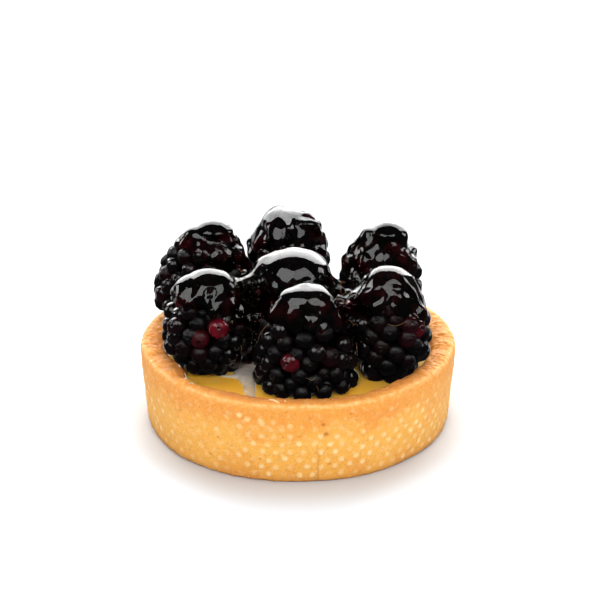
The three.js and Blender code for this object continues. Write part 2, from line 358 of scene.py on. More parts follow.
# %% Rounding and spacing the profile
def cut_corners(rows, times=2):
    """Chaikin's rule: each corner is replaced by two points, so a rough outline becomes round."""
    for _ in range(times):
        near = 0.75 * rows[:-1] + 0.25 * rows[1:]
        far = 0.25 * rows[:-1] + 0.75 * rows[1:]
        middle = np.stack([near, far], 1).reshape(-1, rows.shape[1])
        rows = np.vstack([rows[:1], middle, rows[-1:]])
    return rows


def spaced(rows):
    """Points along the profile, closer together where its last column asks for it."""
    steps = np.linalg.norm(np.diff(rows[:, :2], axis=0), axis=1)
    wanted = np.concatenate([[0], np.cumsum(steps * (rows[:-1, -1] + rows[1:, -1]) / 2)])
    ends = np.linspace(0, wanted[-1], int(wanted[-1]) + 1)
    return np.stack([np.interp(ends, wanted, column) for column in rows.T], 1)


def turned_faces(rows, sides):
    """Quads between the rings of a turned profile, and one many-sided face at each end."""
    ring = np.arange(sides)
    following = (ring + 1) % sides
    faces = []
    for row in range(rows - 1):
        first, second = row * sides, (row + 1) * sides
        faces += np.stack([first + ring, first + following, second + following, second + ring], 1).tolist()
    faces.append(ring[::-1].tolist())
    faces.append(((rows - 1) * sides + ring).tolist())
    return faces


profile = spaced(cut_corners(np.array(CRUST_PROFILE, float)))
print("the crust's profile has", len(profile), "points")

# %% [markdown]
# ## The marks on the wall
# The ring has a hole wherever the wall has a raised dot: eight rows of 68, each row shifted by half a
# step. Dough fills the holes unevenly, so the dots differ in strength and fade toward the rim. Pits
# are small bubbles that opened. At one place two ends of the strip of dough meet in a join.

# %% The dots and pits
MARK_ROWS = 8
MARK_COLUMNS = 68
MARK_ROW_PITCH = 1.97
MARK_LOWEST = 2.2
MARK_RADIUS = 0.68
FAINTEST_MARK = 0.12
PIT_COUNT = 45
JOIN_ANGLE = math.radians(-83)
# Angle, height and strength of dots that stand alone above the rest.
HIGH_MARKS = [(-1.93, 16.9, 0.9), (-1.88, 16.1, 0.7), (-1.79, 15.4, 0.5), (-1.62, 15.0, 0.6)]
# Angle, height and size of the pits along the join.
JOIN_PITS = [(-1.418, 15.2, 0.55), (-1.400, 12.6, 0.75), (-1.432, 12.2, 0.6), (-1.414, 7.9, 0.45)]

chance = np.random.default_rng(41)


def wall_marks():
    """Angle, height and strength of each dot. They fade toward the rim and here and there."""
    marks = []
    for row in range(MARK_ROWS):
        height = MARK_LOWEST + row * MARK_ROW_PITCH
        for column in range(MARK_COLUMNS):
            angle = 2 * math.pi * (column + 0.5 * (row % 2)) / MARK_COLUMNS - math.pi
            angle += chance.normal(0, 0.006)
            strength = chance.uniform(0.15, 1.1)
            fade = 1 - smoothstep(11.0, 17.5, height + chance.normal(0, 1.5))
            spot = Vector((3 * math.cos(angle), 3 * math.sin(angle), height / 6))
            patch = 0.5 + 0.5 * noise.noise(spot)
            worn = 1 - 0.5 * math.exp(-((angle + 2.3) / 0.28) ** 2)
            strength *= fade * worn * smoothstep(0.15, 0.5, patch)
            if strength > FAINTEST_MARK:
                marks.append((angle, height + chance.normal(0, 0.14), min(strength, 1)))
    return np.array(marks + HIGH_MARKS)


marks = wall_marks()
pits = np.stack([chance.uniform(-math.pi, math.pi, PIT_COUNT), chance.uniform(1.0, 19.0, PIT_COUNT),
                 chance.uniform(0.15, 0.34, PIT_COUNT)], 1)
pits = np.vstack([pits, JOIN_PITS])
print(len(marks), "dots and", len(pits), "pits")

# %% How much of a dot or a pit each point gets
def around(angle, reference):
    """How far one angle is from another, between minus and plus half a turn."""
    return (angle - reference + math.pi) % (2 * math.pi) - math.pi


def near_spot(turn, height, wall, where, height_at, reach):
    """The wall's points within reach of a place, and how far each is along and up from it."""
    near = wall[np.abs(height[wall] - height_at) < reach]
    near = near[np.abs(around(turn[near], where)) < reach / RIM_RADIUS]
    return near, around(turn[near], where) * RIM_RADIUS, height[near] - height_at


def mark_and_pit_shares(turn, height, wall):
    mark_share, pit_share = np.zeros(len(turn)), np.zeros(len(turn))
    for where, height_at, strength in marks:
        near, along, above = near_spot(turn, height, wall, where, height_at, 1.2)
        share = strength * smoothstep(MARK_RADIUS * 1.25, MARK_RADIUS * 0.6, np.hypot(along, above))
        mark_share[near] = np.maximum(mark_share[near], share)
    for where, height_at, size in pits:
        near, along, above = near_spot(turn, height, wall, where, height_at, 1.5)
        share = smoothstep(size, size * 0.3, np.hypot(along * 0.8, above * 1.2))
        pit_share[near] = np.maximum(pit_share[near], share)
    return mark_share, pit_share

# %% [markdown]
# ## Shaping and colouring the crust
# Every effect is a number for each point: how far it is pushed along its normal, or how brown it is.
# Simple numbers are worked out first, such as how much a point belongs to the wall or to the rim, and
# they switch the effects on where they belong. The rim's creases are deepest at the left and right,
# where the dough gathered. At one place the inner edge bulges inward, and beside it is a scoop.

# %% Waves of the outline and the rim
def outline_wave(angle):
    return 0.16 * np.sin(2 * angle + 0.6) + 0.1 * np.sin(6 * angle + 2.1) + 0.07 * np.sin(10 * angle + 0.9)


def rim_wave(angle):
    swell = 0.16 * np.sin(2 * angle + 1) + 0.12 * np.sin(7 * angle + 0.3)
    creases = (0.04 + 0.12 * np.abs(np.cos(angle))) * np.sin(31 * angle + 2 * np.sin(5 * angle))
    return np.clip(swell + creases, -0.35, 0.35)


def hump(turn, centre, width):
    return np.exp(-(around(turn, centre) / width) ** 2)

# %% The plain shell, and where each effect belongs
rows = len(profile)
turn = np.tile(np.arange(CRUST_SIDES) * 2 * math.pi / CRUST_SIDES - math.pi, rows)
tangent = np.gradient(profile[:, :2], axis=0)
tangent /= np.linalg.norm(tangent, axis=1)[:, None]
out, up = np.repeat(tangent[:, 1], CRUST_SIDES), np.repeat(-tangent[:, 0], CRUST_SIDES)
plain_radius, plain_height, relief, browning_and_shade = np.repeat(profile[:, :4], CRUST_SIDES, axis=0).T
plain = np.stack([plain_radius * np.cos(turn), plain_radius * np.sin(turn), plain_height], 1)

outer = smoothstep(INNER_RADIUS + 0.4, INNER_RADIUS + 3, plain_radius)
on_wall = smoothstep(0.3, 1.0, plain_height) * smoothstep(19.6, 19.0, plain_height)
on_wall = on_wall * (plain_radius > FOOT_RADIUS - 0.1)
low_wall = smoothstep(11.0, 8.0, plain_height) * on_wall
foot = smoothstep(1.6, 0.3, plain_height) * smoothstep(FOOT_RADIUS - 2, FOOT_RADIUS - 0.3, plain_radius)
gathered = relief * (0.25 + 0.75 * np.abs(np.cos(turn)) ** 1.5)
mark_share, pit_share = mark_and_pit_shares(turn, plain_height, np.flatnonzero(on_wall > 0))
beside_join = around(turn, JOIN_ANGLE) * RIM_RADIUS + 0.35 * bumps(plain * [0, 0, 1], 2.5, 5, 2)
join = low_wall * (np.exp(-(beside_join / 0.22) ** 2))
print(len(plain), "points,", int((mark_share > 0).sum()), "of them in dots")

# %% How far each point is pushed
MARK_HEIGHT = 0.20
PIT_DEPTH = 0.38
JOIN_DEPTH = 0.16
LIP_HEIGHT = 0.10
FOOT_CRUMB = 0.16
across = np.stack([np.cos(turn) * 23, np.sin(turn) * 23, plain_radius / 5 + 0.15 * plain_height], 1)
crease = bumps(across, 1.0, 1)
rim_push = gathered * (0.24 * crease - 0.42 * np.clip(1 - np.abs(crease) / 0.16, 0, 1) ** 2)
crumb = bumps(plain, 1.1, 2)
push = rim_push + (0.035 + 0.055 * relief + 0.10 * gathered) * crumb
push += 0.12 * bumps(plain, 9.0, 3, 2) * outer
push += on_wall * (MARK_HEIGHT * mark_share - PIT_DEPTH * pit_share)
lip = LIP_HEIGHT * low_wall * smoothstep(0.0, 0.3, beside_join) * smoothstep(2.4, 0.6, beside_join)
push += lip - JOIN_DEPTH * join
push += FOOT_CRUMB * foot * bumps(plain, 0.8, 6, 2)
radius = plain_radius + outer * outline_wave(turn) + out * push
height = plain_height + relief * rim_wave(turn) + up * push
print("the deepest push is", round(-push.min(), 2), "mm and the highest", round(push.max(), 2), "mm")

# %% The inner edge, and the crust's mesh
BULGE_ANGLE = math.radians(-153)
BULGE_DEPTH = 1.5
SCOOP_ANGLE = math.radians(-138)
SCOOP_WIDTH = 1.3
SCOOP_DROP = 0.9
inner = smoothstep(RIM_RADIUS - 2.0, RIM_RADIUS - 5.0, radius) * smoothstep(14.0, 17.0, height)
scoop = hump(turn, SCOOP_ANGLE, 0.15)
radius += inner * (SCOOP_WIDTH * scoop - BULGE_DEPTH * hump(turn, BULGE_ANGLE, 0.13))
height = np.maximum(height - SCOOP_DROP * scoop * inner, 0)
points = np.stack([radius * np.cos(turn), radius * np.sin(turn), height], 1)
crust = make_piece("crust_shell", points, turned_faces(rows, CRUST_SIDES), pastry)

# %% How brown, how warm and how pale the crust is
patch = bumps(plain, 7.0, 7)
# The rim is browner at its front and back than at its sides: partly baking, partly painted shade where the
# berries shade the front of the rim.
toasted_and_shaded = np.where(height > 17, 0.54 + 0.70 * np.abs(np.sin(turn)) ** 3, 1)
# Painted shade: pits and the join are browner, as hollows.
brown = browning_and_shade * toasted_and_shaded * (1 + 0.5 * patch) + 0.75 * pit_share + 0.3 * join
# Painted shade: the rim's creases are browner the deeper they go.
brown += relief * 0.5 * np.clip(-rim_push / 0.4, 0, 1)
brown += 0.24 * inner * hump(turn, BULGE_ANGLE, 0.5)
warm = 0.12 + 0.74 * smoothstep(9.5, 17.5, height + 3.0 * patch) + 0.30 * smoothstep(0.15, 0.6, patch)
# Painted highlight: a pale line along the rim's outer edge.
painted_edge_highlight = np.exp(-((plain_radius - RIM_RADIUS + 0.55) / 0.35) ** 2) * (height > 19)
pale = np.maximum(0.95 * mark_share, 0.45 * painted_edge_highlight * (0.7 + crumb))
give_attribute(crust, "warmth", np.clip(warm, 0, 1))
give_attribute(crust, "browning_and_shade", np.clip(brown, 0, 0.95))
# This pale layer holds the raised dots and the painted highlight along the rim's edge.
give_attribute(crust, "dots_and_edge_highlight", np.clip(pale, 0, 1))
crust.visible_glossy = False
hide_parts("crust")
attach(crust, "root")
print("the crust has", len(crust.data.polygons), "faces")

# %% [markdown]
# ## The custard
# Set custard is smooth and a little see-through, so light goes into it and comes back warmer. Its
# top is nearly flat, climbs a little where it clings to the crust, and its skin is slightly glossy.
# It fills a round shell, so it is turned from a profile too, with the same helpers.

# %% Custard material and form
CUSTARD_YELLOW = (0.99, 0.47, 0.042, 1)
CUSTARD_PALE = (0.97, 0.57, 0.09, 1)
CUSTARD_SIDES = 240


def make_custard_material():
    material, tree = new_material("custard")
    place = object_place(tree)
    cloud = ranged(tree, speckle(tree, place, 120), 0.35, 0.7)
    finish_material(tree, {
        "Base Color": mixed(tree, cloud, CUSTARD_YELLOW, CUSTARD_PALE), "Roughness": 0.34,
        "Specular IOR Level": 0.45, "Subsurface Weight": 0.35, "Subsurface Radius": (1.0, 0.5, 0.12),
        "Subsurface Scale": 1.6 * MM, "Normal": bumped(tree, speckle(tree, place, 500), 0.25, 0.15)})
    return material


def make_custard():
    edge = INNER_RADIUS + 0.15
    # radius, height, points per millimetre
    rows = spaced(cut_corners(np.array([
        (2.0, BASE_TOP + 0.4, 0.1), (edge - 2.3, BASE_TOP + 0.5, 0.3), (edge - 1.1, BASE_TOP + 2.0, 0.3),
        (edge - 0.35, CUSTARD_LEVEL - 1, 1.5), (edge + 0.25, CUSTARD_LEVEL + 0.55, 4),
        (edge - 0.25, CUSTARD_LEVEL + 0.45, 4), (edge - 1.0, CUSTARD_LEVEL + 0.12, 3),
        (edge - 2.2, CUSTARD_LEVEL, 1.2), (2.0, CUSTARD_LEVEL, 1.2)])))
    turn = np.tile(np.arange(CUSTARD_SIDES) * 2 * math.pi / CUSTARD_SIDES, len(rows))
    radius, height = np.repeat(rows[:, :2], CUSTARD_SIDES, axis=0).T
    points = np.stack([radius * np.cos(turn), radius * np.sin(turn), height], 1)
    points[:, 2] += 0.07 * bumps(points, 5.0, 9, 2) * smoothstep(CUSTARD_LEVEL - 2, CUSTARD_LEVEL, height)
    faces = turned_faces(len(rows), CUSTARD_SIDES)
    return make_piece("custard_filling", points, faces, make_custard_material())


custard = make_custard()
custard.visible_glossy = False
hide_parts("filling")
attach(custard, "root")
print("the custard has", len(custard.data.polygons), "faces")

# %% [markdown]
# ## Where the beads are
# A bramble berry is a cluster of small fruits, each a bead round a seed. The model already holds
# every bead as a dome of a few triangles. The tip of a dome is the vertex that lies farther from
# the berry's middle than all its neighbours, so the beads' places are read back from the model,
# and the fine beads sit where the plain ones do. A berry's beads are kept as rows of numbers: their
# tips, centres, directions and sizes, and how wet and how red each one is.

# %% Finding the beads
BERRIES = sorted(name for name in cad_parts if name.startswith("berry_"))
BEAD_RADIUS = 2.40
# How high up each berry its middle is, as a share of its height.
WAISTS = {"berry_front": 0.26, "berry_front_left": 0.38, "berry_front_right": 0.40, "berry_back_left": 0.36,
          "berry_back": 0.45, "berry_back_right": 0.38, "berry_middle": 0.42}
WELD = 0.01 * MM
LOWEST_TIP = 1.0 * MM
WET_SHARE = 0.75
# Thin glaze also ran down the sides. Between these azimuths, with 0 the front, the beads stayed dry.
DRY_SECTORS = {"berry_front": (-40, 55), "berry_front_left": (-38, 30), "berry_front_right": (-30, 50)}


def find_tips(node, low, middle):
    """The tops of the domes on a berry of the plain model, in metres and from the lowest up."""
    mesh = bmesh.new()
    mesh.from_mesh(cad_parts[node].data)
    bmesh.ops.remove_doubles(mesh, verts=mesh.verts, dist=WELD)
    reach = {vertex: (vertex.co - middle).length for vertex in mesh.verts}
    tips = [vertex.co.copy() for vertex in mesh.verts
            if all(reach[vertex] > reach[edge.other_vert(vertex)] for edge in vertex.link_edges)]
    mesh.free()
    tips = sorted(tips, key=lambda tip: (round(tip.z, 6), round(tip.x, 6)))
    return [tip for tip in tips if tip.z > low.z + LOWEST_TIP]


def find_beads(node, seed):
    low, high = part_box(node)
    middle = (low + high) / 2
    middle.z = low.z + WAISTS[node] * (high.z - low.z)
    tips = np.array(find_tips(node, low, middle)) / MM
    middle = np.array(middle) / MM
    out = tips - middle
    reach = np.linalg.norm(out, axis=1)
    out /= reach[:, None]
    draw = np.random.default_rng(seed)
    size = BEAD_RADIUS * draw.triangular(0.84, 1.02, 1.12, len(tips))
    azimuth = np.degrees(np.arctan2(out[:, 0], -out[:, 1]))
    dry_from, dry_to = DRY_SECTORS.get(node, (0, 0))
    may_be_wet = draw.uniform(0, 1, len(tips)) < WET_SHARE
    wet = np.where((azimuth > dry_from) & (azimuth < dry_to), 0.0, may_be_wet)
    return {"middle": middle, "tips": tips, "out": out, "reach": reach, "size": size, "wet": wet,
            "centres": tips - out * size[:, None], "ripe": draw.uniform(0, 1, len(tips)) ** 9 * 0.05}


berries = {node: find_beads(node, 100 + index) for index, node in enumerate(BERRIES)}
print({node: len(beads["tips"]) for node, beads in berries.items()})

# %% [markdown]
# ## The foot of each berry
# The berries are pressed into the custard, so a last row of beads fills the angle where they meet
# it. The row stands on the berry's smooth envelope at one height. That envelope is how far the beads
# reach in a direction: a mean over all beads, in which those near that direction count most. One gap
# on the front berry is wide enough for another bead, whose place is given.

# %% The envelope, the foot and one more bead
FOOT_BEADS = 12
FOOT_HEIGHT = 1.3
FOOT_WET_SHARE = 0.5
# How much wider than its berry, and how far back, a foot stands.
FEET = {"berry_front": (0.6, -0.2), "berry_front_left": (0.0, 2.4)}
ENVELOPE_SHARPNESS = 16
EXTRA_TIP = (4.6, -29.6, 30.0)
EXTRA_SIZE = 2.25


def envelope(beads, way):
    pull = np.exp(ENVELOPE_SHARPNESS * (way @ beads["out"].T.astype(way.dtype) - 1))
    return (pull @ beads["reach"].astype(way.dtype)) / pull.sum(-1)


def join_beads(beads, tips, out, size, wet, ripe):
    more = {"tips": tips, "out": out, "reach": np.linalg.norm(tips - beads["middle"], axis=1), "size": size,
            "wet": wet, "centres": tips - out * size[:, None], "ripe": ripe}
    for key, values in more.items():
        beads[key] = np.concatenate([beads[key], values])


def add_foot(beads, seed, wider=0.0, back=0.0):
    draw = np.random.default_rng(seed)
    turn = (np.arange(FOOT_BEADS) + draw.uniform(-0.25, 0.25, FOOT_BEADS)) * 2 * math.pi / FOOT_BEADS
    slope = np.radians(np.arange(70, 160, 1.0))
    flat = np.stack([np.cos(turn), np.sin(turn), np.zeros(FOOT_BEADS)], 1)
    way = np.sin(slope)[None, :, None] * flat[:, None] + np.cos(slope)[None, :, None] * np.array([0, 0, 1.0])
    reach = envelope(beads, way)
    height = beads["middle"][2] + reach * way[:, :, 2]
    row = np.abs(height - CUSTARD_LEVEL - FOOT_HEIGHT).argmin(1)
    wide = np.take_along_axis(reach, row[:, None], 1)[:, 0] * np.sin(slope)[row]
    wide += draw.uniform(0.2, 1.2, FOOT_BEADS) + wider
    tips = np.append(beads["middle"][:2], CUSTARD_LEVEL + FOOT_HEIGHT) + wide[:, None] * flat
    tips[:, 2] += draw.uniform(-0.6, 0.5, FOOT_BEADS)
    tips[:, 1] += back
    tips[:, :2] *= np.minimum(1, (INNER_RADIUS + 0.9) / np.hypot(tips[:, 0], tips[:, 1]))[:, None]
    out = flat + [0, 0, -0.25]
    out /= np.linalg.norm(out, axis=1)[:, None]
    size = BEAD_RADIUS * draw.uniform(0.85, 1.1, FOOT_BEADS)
    wet = draw.uniform(0, 1, FOOT_BEADS) < FOOT_WET_SHARE
    join_beads(beads, tips, out, size, wet, 0.05 * draw.uniform(0, 1, FOOT_BEADS) ** 3)
    return wide.mean()


def add_extra_bead(beads):
    tip = np.array([EXTRA_TIP])
    out = tip - beads["middle"]
    out /= np.linalg.norm(out, axis=1)
    join_beads(beads, tip, out, np.array([EXTRA_SIZE]), [1.0], [0.01])


for index, node in enumerate(BERRIES):
    foot_radius = add_foot(berries[node], 300 + index, *FEET.get(node, ()))
    print(node, "has a foot", round(foot_radius, 1), "mm from its middle")
add_extra_bead(berries["berry_front"])

# %% The beads that are still red
# Each entry is a place on the berry and how red its nearest bead is, from 0 black to 1 bright red.
RED_BEADS = {
    "berry_front_left": [((-17.6, -19.3, 31.2), 0.95), ((-22.9, -20.4, 28.3), 0.38),
                         ((-23.0, -20.3, 23.4), 0.05), ((-29.6, -15.9, 30.2), 0.03),
                         ((-26.5, -14.0, 38.0), 0.5), ((-28.5, -11.0, 37.0), 0.5)],
    "berry_front": [((-2.1, -29.4, 27.2), 0.62), ((6.4, -27.7, 23.0), 0.02)],
    "berry_front_right": [((26.6, -20.4, 32.6), 0.10), ((26.0, -21.4, 28.8), 0.12),
                          ((28.6, -18.8, 30.8), 0.5)],
    "berry_back_left": [((-26.7, 9.5, 41.6), 0.25), ((-33.5, 9.2, 33.4), 0.06)],
}
BRIGHT = 0.6

for node, places in RED_BEADS.items():
    beads = berries[node]
    for place, redness in places:
        shift = np.array(place) - beads["tips"]
        nearest = np.linalg.norm(shift, axis=1).argmin()
        beads["ripe"][nearest] = redness
        beads["centres"][nearest] += 0.8 * shift[nearest]
        if redness > BRIGHT:
            beads["wet"][nearest] = 1
            beads["size"][nearest] = 1.02 * BEAD_RADIUS
            beads["centres"][nearest] += 0.7 * beads["out"][nearest]
print(sum(len(places) for places in RED_BEADS.values()), "beads are red")

# %% [markdown]
# ## The crowns of glaze
# On top of each berry the glaze settled into a smooth dome that hides the beads. Each dome is the
# upper part of one to three ellipsoids, given by their middles and half sizes. The beads beneath are
# pushed in a little, so that all of them lie under it.

# %% The domes, and pushing the beads under them
DOMES = {
    "berry_front": [((2.3, -18.4, 29.8), (13.2, 8.4, 12.9))],
    "berry_front_left": [((-19.8, -9.0, 27.9), (10.4, 12.0, 13.9)), ((-24.4, -10.2, 28.0), (8.0, 9.0, 12.2)),
                         ((-17.4, -9.0, 28.0), (6.8, 10.0, 12.6))],
    "berry_front_right": [((19.9, -11.4, 30.2), (9.7, 9.6, 13.5))],
    "berry_back_left": [((-20.2, 12.0, 41.2), (5.4, 4.8, 3.9)), ((-24.4, 11.6, 38.8), (5.2, 4.6, 4.8))],
    "berry_back": [((-4.8, 20.5, 36.0), (5.4, 14.4, 8.4)), ((2.4, 18.4, 37.6), (5.6, 3.4, 5.4))],
    "berry_back_right": [((22.0, 10.4, 38.2), (6.4, 5.8, 7.1)), ((17.2, 10.6, 36.8), (5.2, 5.0, 6.9))],
    "berry_middle": [((-1.2, 0.0, 35.4), (9.2, 12.4, 6.4))],
}
SUNK = 0.55
MOST_SUNK = 1.5


def dome_field(points, middle, halves):
    """Roughly the distance from an ellipsoid's surface, below zero inside."""
    away = points - np.array(middle)
    reach = np.linalg.norm(away / halves, axis=1) + 1e-6
    return (reach - 1) * reach / (np.linalg.norm(away / np.square(halves), axis=1) + 1e-6)


def push_under(beads, middle, halves):
    tips = beads["centres"] + beads["out"] * beads["size"][:, None]
    above = dome_field(tips, middle, halves)
    on_top = (tips[:, 2] - middle[2] > 0.35 * halves[2]) & (above < 2.0)
    beads["centres"] -= beads["out"] * np.where(on_top, np.clip(above + SUNK, 0, MOST_SUNK), 0)[:, None]
    return int(on_top.sum())


for node, domes in DOMES.items():
    print(node, "has", [push_under(berries[node], *shape) for shape in domes], "beads under its domes")

# %% [markdown]
# ## The beads' skin
# Ripe skin is nearly black with a wine tint, satin rather than shiny, and it wrinkles toward the
# dimple at each bead's tip, where the flower's thread was. Unripe beads are red. Every bead brings
# its own coordinates and its redness as attributes, so one tree serves them all. It makes three
# skins: dry, wet with a thin film that fills the wrinkles, and glazed. Skin that lies under glaze has
# no gloss of its own, because light bends alike in both, and it shows more of its wine tint.

# %% Berry skin material
SKIN_BLACK = (0.0014, 0.0012, 0.0014, 1)
SKIN_WINE = (0.0045, 0.0011, 0.0016, 1)
SKIN_RED = (0.105, 0.0035, 0.009, 1)
GLAZED_BLACK = (0.0014, 0.0006, 0.0008, 1)
GLAZED_WINE = (0.032, 0.0018, 0.0036, 1)
SCAR_BLACK = (0.0012, 0.0010, 0.0010, 1)
# Painted shade: the core shows only in the clefts between the beads, so it is a matte black there.
CORE_SHADE_BLACK = (0.0006, 0.0004, 0.0004, 1)


def skin_colour(tree, place, tip, dark, tinted):
    tint = ranged(tree, speckle(tree, place, 260, 2), 0.4, 0.75)
    patchy = ranged(tree, speckle(tree, place, 600, 2), 0.3, 0.7, 0.5, 1.0)
    blush = worked_out(tree, "MULTIPLY", stored(tree, "redness"), patchy)
    colour = mixed(tree, blush, mixed(tree, tint, dark, tinted), SKIN_RED)
    return mixed(tree, ranged(tree, tip, 0.94, 0.98, 0.0, 0.9), colour, SCAR_BLACK)


def skin_bumps(tree, place, on_bead, tip, grain, relief):
    """Soft dents, wrinkles that run to the tip, a raised ring round the dimple, and fine grain."""
    drawn_out = put(tree, "ShaderNodeMapping", {"Vector": on_bead, "Scale": (1.0, 1.0, 0.35)})
    wrinkles = speckle(tree, drawn_out.outputs["Vector"], 7.0, 3, 0.6)
    ring = worked_out(tree, "SUBTRACT", ranged(tree, tip, 0.90, 0.95),
                      ranged(tree, tip, 0.95, 0.985, 0.0, 1.6))
    layers = ((speckle(tree, place, 420, 2), 0.35 * relief, 0.40), (wrinkles, 0.7 * relief, 0.22),
              (ring, 0.8, 0.14), (grain, 0.6 * relief, 0.08))
    normal = None
    for height, strength, depth in layers:
        normal = bumped(tree, height, strength, depth, normal)
    return normal


def make_skin(name, gloss, smoothest, roughest, dark=SKIN_BLACK, tinted=SKIN_WINE, relief=1.0):
    material, tree = new_material(name)
    place = object_place(tree)
    on_bead = stored(tree, "on_bead", "Vector")
    tip = put(tree, "ShaderNodeSeparateXYZ", {0: on_bead}).outputs["Z"]
    grain = speckle(tree, place, 1700, 3, 0.6)
    finish_material(tree, {
        "Base Color": skin_colour(tree, place, tip, dark, tinted), "Specular IOR Level": gloss,
        "Roughness": ranged(tree, grain, 0.35, 0.8, smoothest, roughest),
        "Normal": skin_bumps(tree, place, on_bead, tip, grain, relief)})
    return material


skin = make_skin("berry_skin", 0.26, 0.13, 0.30)
wet_skin = make_skin("wet_berry_skin", 0.50, 0.05, 0.09, relief=0.3)
glazed_skin = make_skin("glazed_berry_skin", 0.0, 0.5, 0.5, GLAZED_BLACK, GLAZED_WINE)
core_shade_skin = simple_material("berry_core_shade", CORE_SHADE_BLACK, 0.8, 0.0)
print(skin.name, "has", len(skin.node_tree.nodes), "nodes")

# %% [markdown]
# ## Beads by Geometry Nodes
# The same small round thing sits at hundreds of places, each turned outward, sized and a little
# misshapen: that is what instancing is for. The tree makes one bead with a dimple where the
# flower's thread was, puts it on every point, makes the copies real, roughens them with noise and
# joins them to a hull of the bead centres, which is the berry's core. Its start and its end are
# helpers, because a second tree, for bubbles and crumbs, needs them too.

# %% The start and the end of a tree
def start_tree(name, **sizes):
    """A tree with named inputs: its points, whole and other numbers, and its finish."""
    tree = bpy.data.node_groups.new(name, "GeometryNodeTree")
    names = {}
    for title, value in {"Geometry": None, **sizes, "Material": None}.items():
        kind = {int: "Int", float: "Float"}.get(type(value), title)
        socket = tree.interface.new_socket(title, in_out="INPUT", socket_type="NodeSocket" + kind)
        if value is not None:
            socket.default_value = value
        names[title] = socket.identifier
    tree.interface.new_socket("Geometry", in_out="OUTPUT", socket_type="NodeSocketGeometry")
    return tree, names, put(tree, "NodeGroupInput").outputs


def named(tree, name, kind):
    return put(tree, "GeometryNodeInputNamedAttribute", {"Name": name}, data_type=kind).outputs["Attribute"]


def vector_of(tree, operation, inputs, output="Vector"):
    return put(tree, "ShaderNodeVectorMath", inputs, operation=operation).outputs[output]


def roughened(tree, copies, unevenness, per_metre, detail):
    """Makes copies real and moves their points by noise."""
    real = put(tree, "GeometryNodeRealizeInstances", {"Geometry": copies.outputs["Instances"]})
    place = put(tree, "GeometryNodeInputPosition").outputs["Position"]
    rough = put(tree, "ShaderNodeTexNoise", {"Vector": place, "Scale": per_metre, "Detail": detail})
    centred = vector_of(tree, "SUBTRACT", {0: rough.outputs["Color"], 1: (0.5, 0.5, 0.5)})
    offset = vector_of(tree, "SCALE", {0: centred, "Scale": unevenness})
    moved = put(tree, "GeometryNodeSetPosition", {"Geometry": real.outputs["Geometry"], "Offset": offset})
    return moved.outputs["Geometry"]


def end_tree(tree, geometry, material):
    final = put(tree, "GeometryNodeRealizeInstances", {"Geometry": geometry})
    dressed = put(tree, "GeometryNodeSetMaterial", {
        "Geometry": final.outputs["Geometry"], "Material": material})
    put(tree, "NodeGroupOutput", {"Geometry": dressed.outputs["Geometry"]})

# %% The bead tree
def dimpled_bead(tree, given):
    """One round bead whose upper end is sunk. It remembers where each of its points was."""
    ball = put(tree, "GeometryNodeMeshUVSphere", {
        "Segments": given["Sides"], "Rings": given["Rings"], "Radius": 1.0})
    position = put(tree, "GeometryNodeInputPosition").outputs["Position"]
    marked = put(tree, "GeometryNodeStoreNamedAttribute", {
        "Geometry": ball.outputs["Mesh"], "Name": "on_bead", "Value": position}, data_type="FLOAT_VECTOR")
    parts = put(tree, "ShaderNodeSeparateXYZ", {0: position}).outputs
    level = put(tree, "ShaderNodeCombineXYZ", {"X": parts["X"], "Y": parts["Y"]}).outputs["Vector"]
    off_axis = vector_of(tree, "LENGTH", {0: level}, "Value")
    depth = worked_out(tree, "MULTIPLY", ranged(tree, off_axis, 0.0, 0.5, 1.0, 0.0), given["Dimple"])
    depth = worked_out(tree, "MULTIPLY", depth, worked_out(tree, "GREATER_THAN", parts["Z"], 0.0))
    sink = put(tree, "ShaderNodeCombineXYZ", {"Z": worked_out(tree, "MULTIPLY", depth, -1.0)})
    bead = put(tree, "GeometryNodeSetPosition", {
        "Geometry": marked.outputs["Geometry"], "Offset": sink.outputs["Vector"]})
    return bead.outputs["Geometry"]


def make_bead_tree():
    tree, names, given = start_tree("berry_beads", Sides=12, Rings=7, Dimple=0.10, Unevenness=0.0, Seed=0)
    facing = put(tree, "FunctionNodeAlignRotationToVector", {"Vector": named(tree, "out", "FLOAT_VECTOR")},
                 axis="Z").outputs["Rotation"]
    wobble = put(tree, "FunctionNodeRandomValue", {"Seed": given["Seed"]}, data_type="FLOAT_VECTOR")
    wobble.inputs["Min"].default_value = (0.94, 0.94, 0.94)
    wobble.inputs["Max"].default_value = (1.06, 1.06, 1.0)
    scale = vector_of(tree, "SCALE", {0: wobble.outputs["Value"], "Scale": named(tree, "size", "FLOAT")})
    copies = put(tree, "GeometryNodeInstanceOnPoints", {
        "Points": given["Geometry"], "Instance": dimpled_bead(tree, given), "Rotation": facing,
        "Scale": scale})
    core = put(tree, "GeometryNodeConvexHull", {"Geometry": given["Geometry"]})
    both = put(tree, "GeometryNodeJoinGeometry")
    tree.links.new(core.outputs["Convex Hull"], both.inputs["Geometry"])
    tree.links.new(roughened(tree, copies, given["Unevenness"], 330.0, 2.0), both.inputs["Geometry"])
    smooth = put(tree, "GeometryNodeSetShadeSmooth", {"Geometry": both.outputs["Geometry"]})
    end_tree(tree, smooth.outputs["Geometry"], given["Material"])
    return tree, names


bead_tree, bead_inputs = make_bead_tree()
print("the bead tree has", len(bead_tree.nodes), "nodes and these inputs:", ", ".join(bead_inputs))

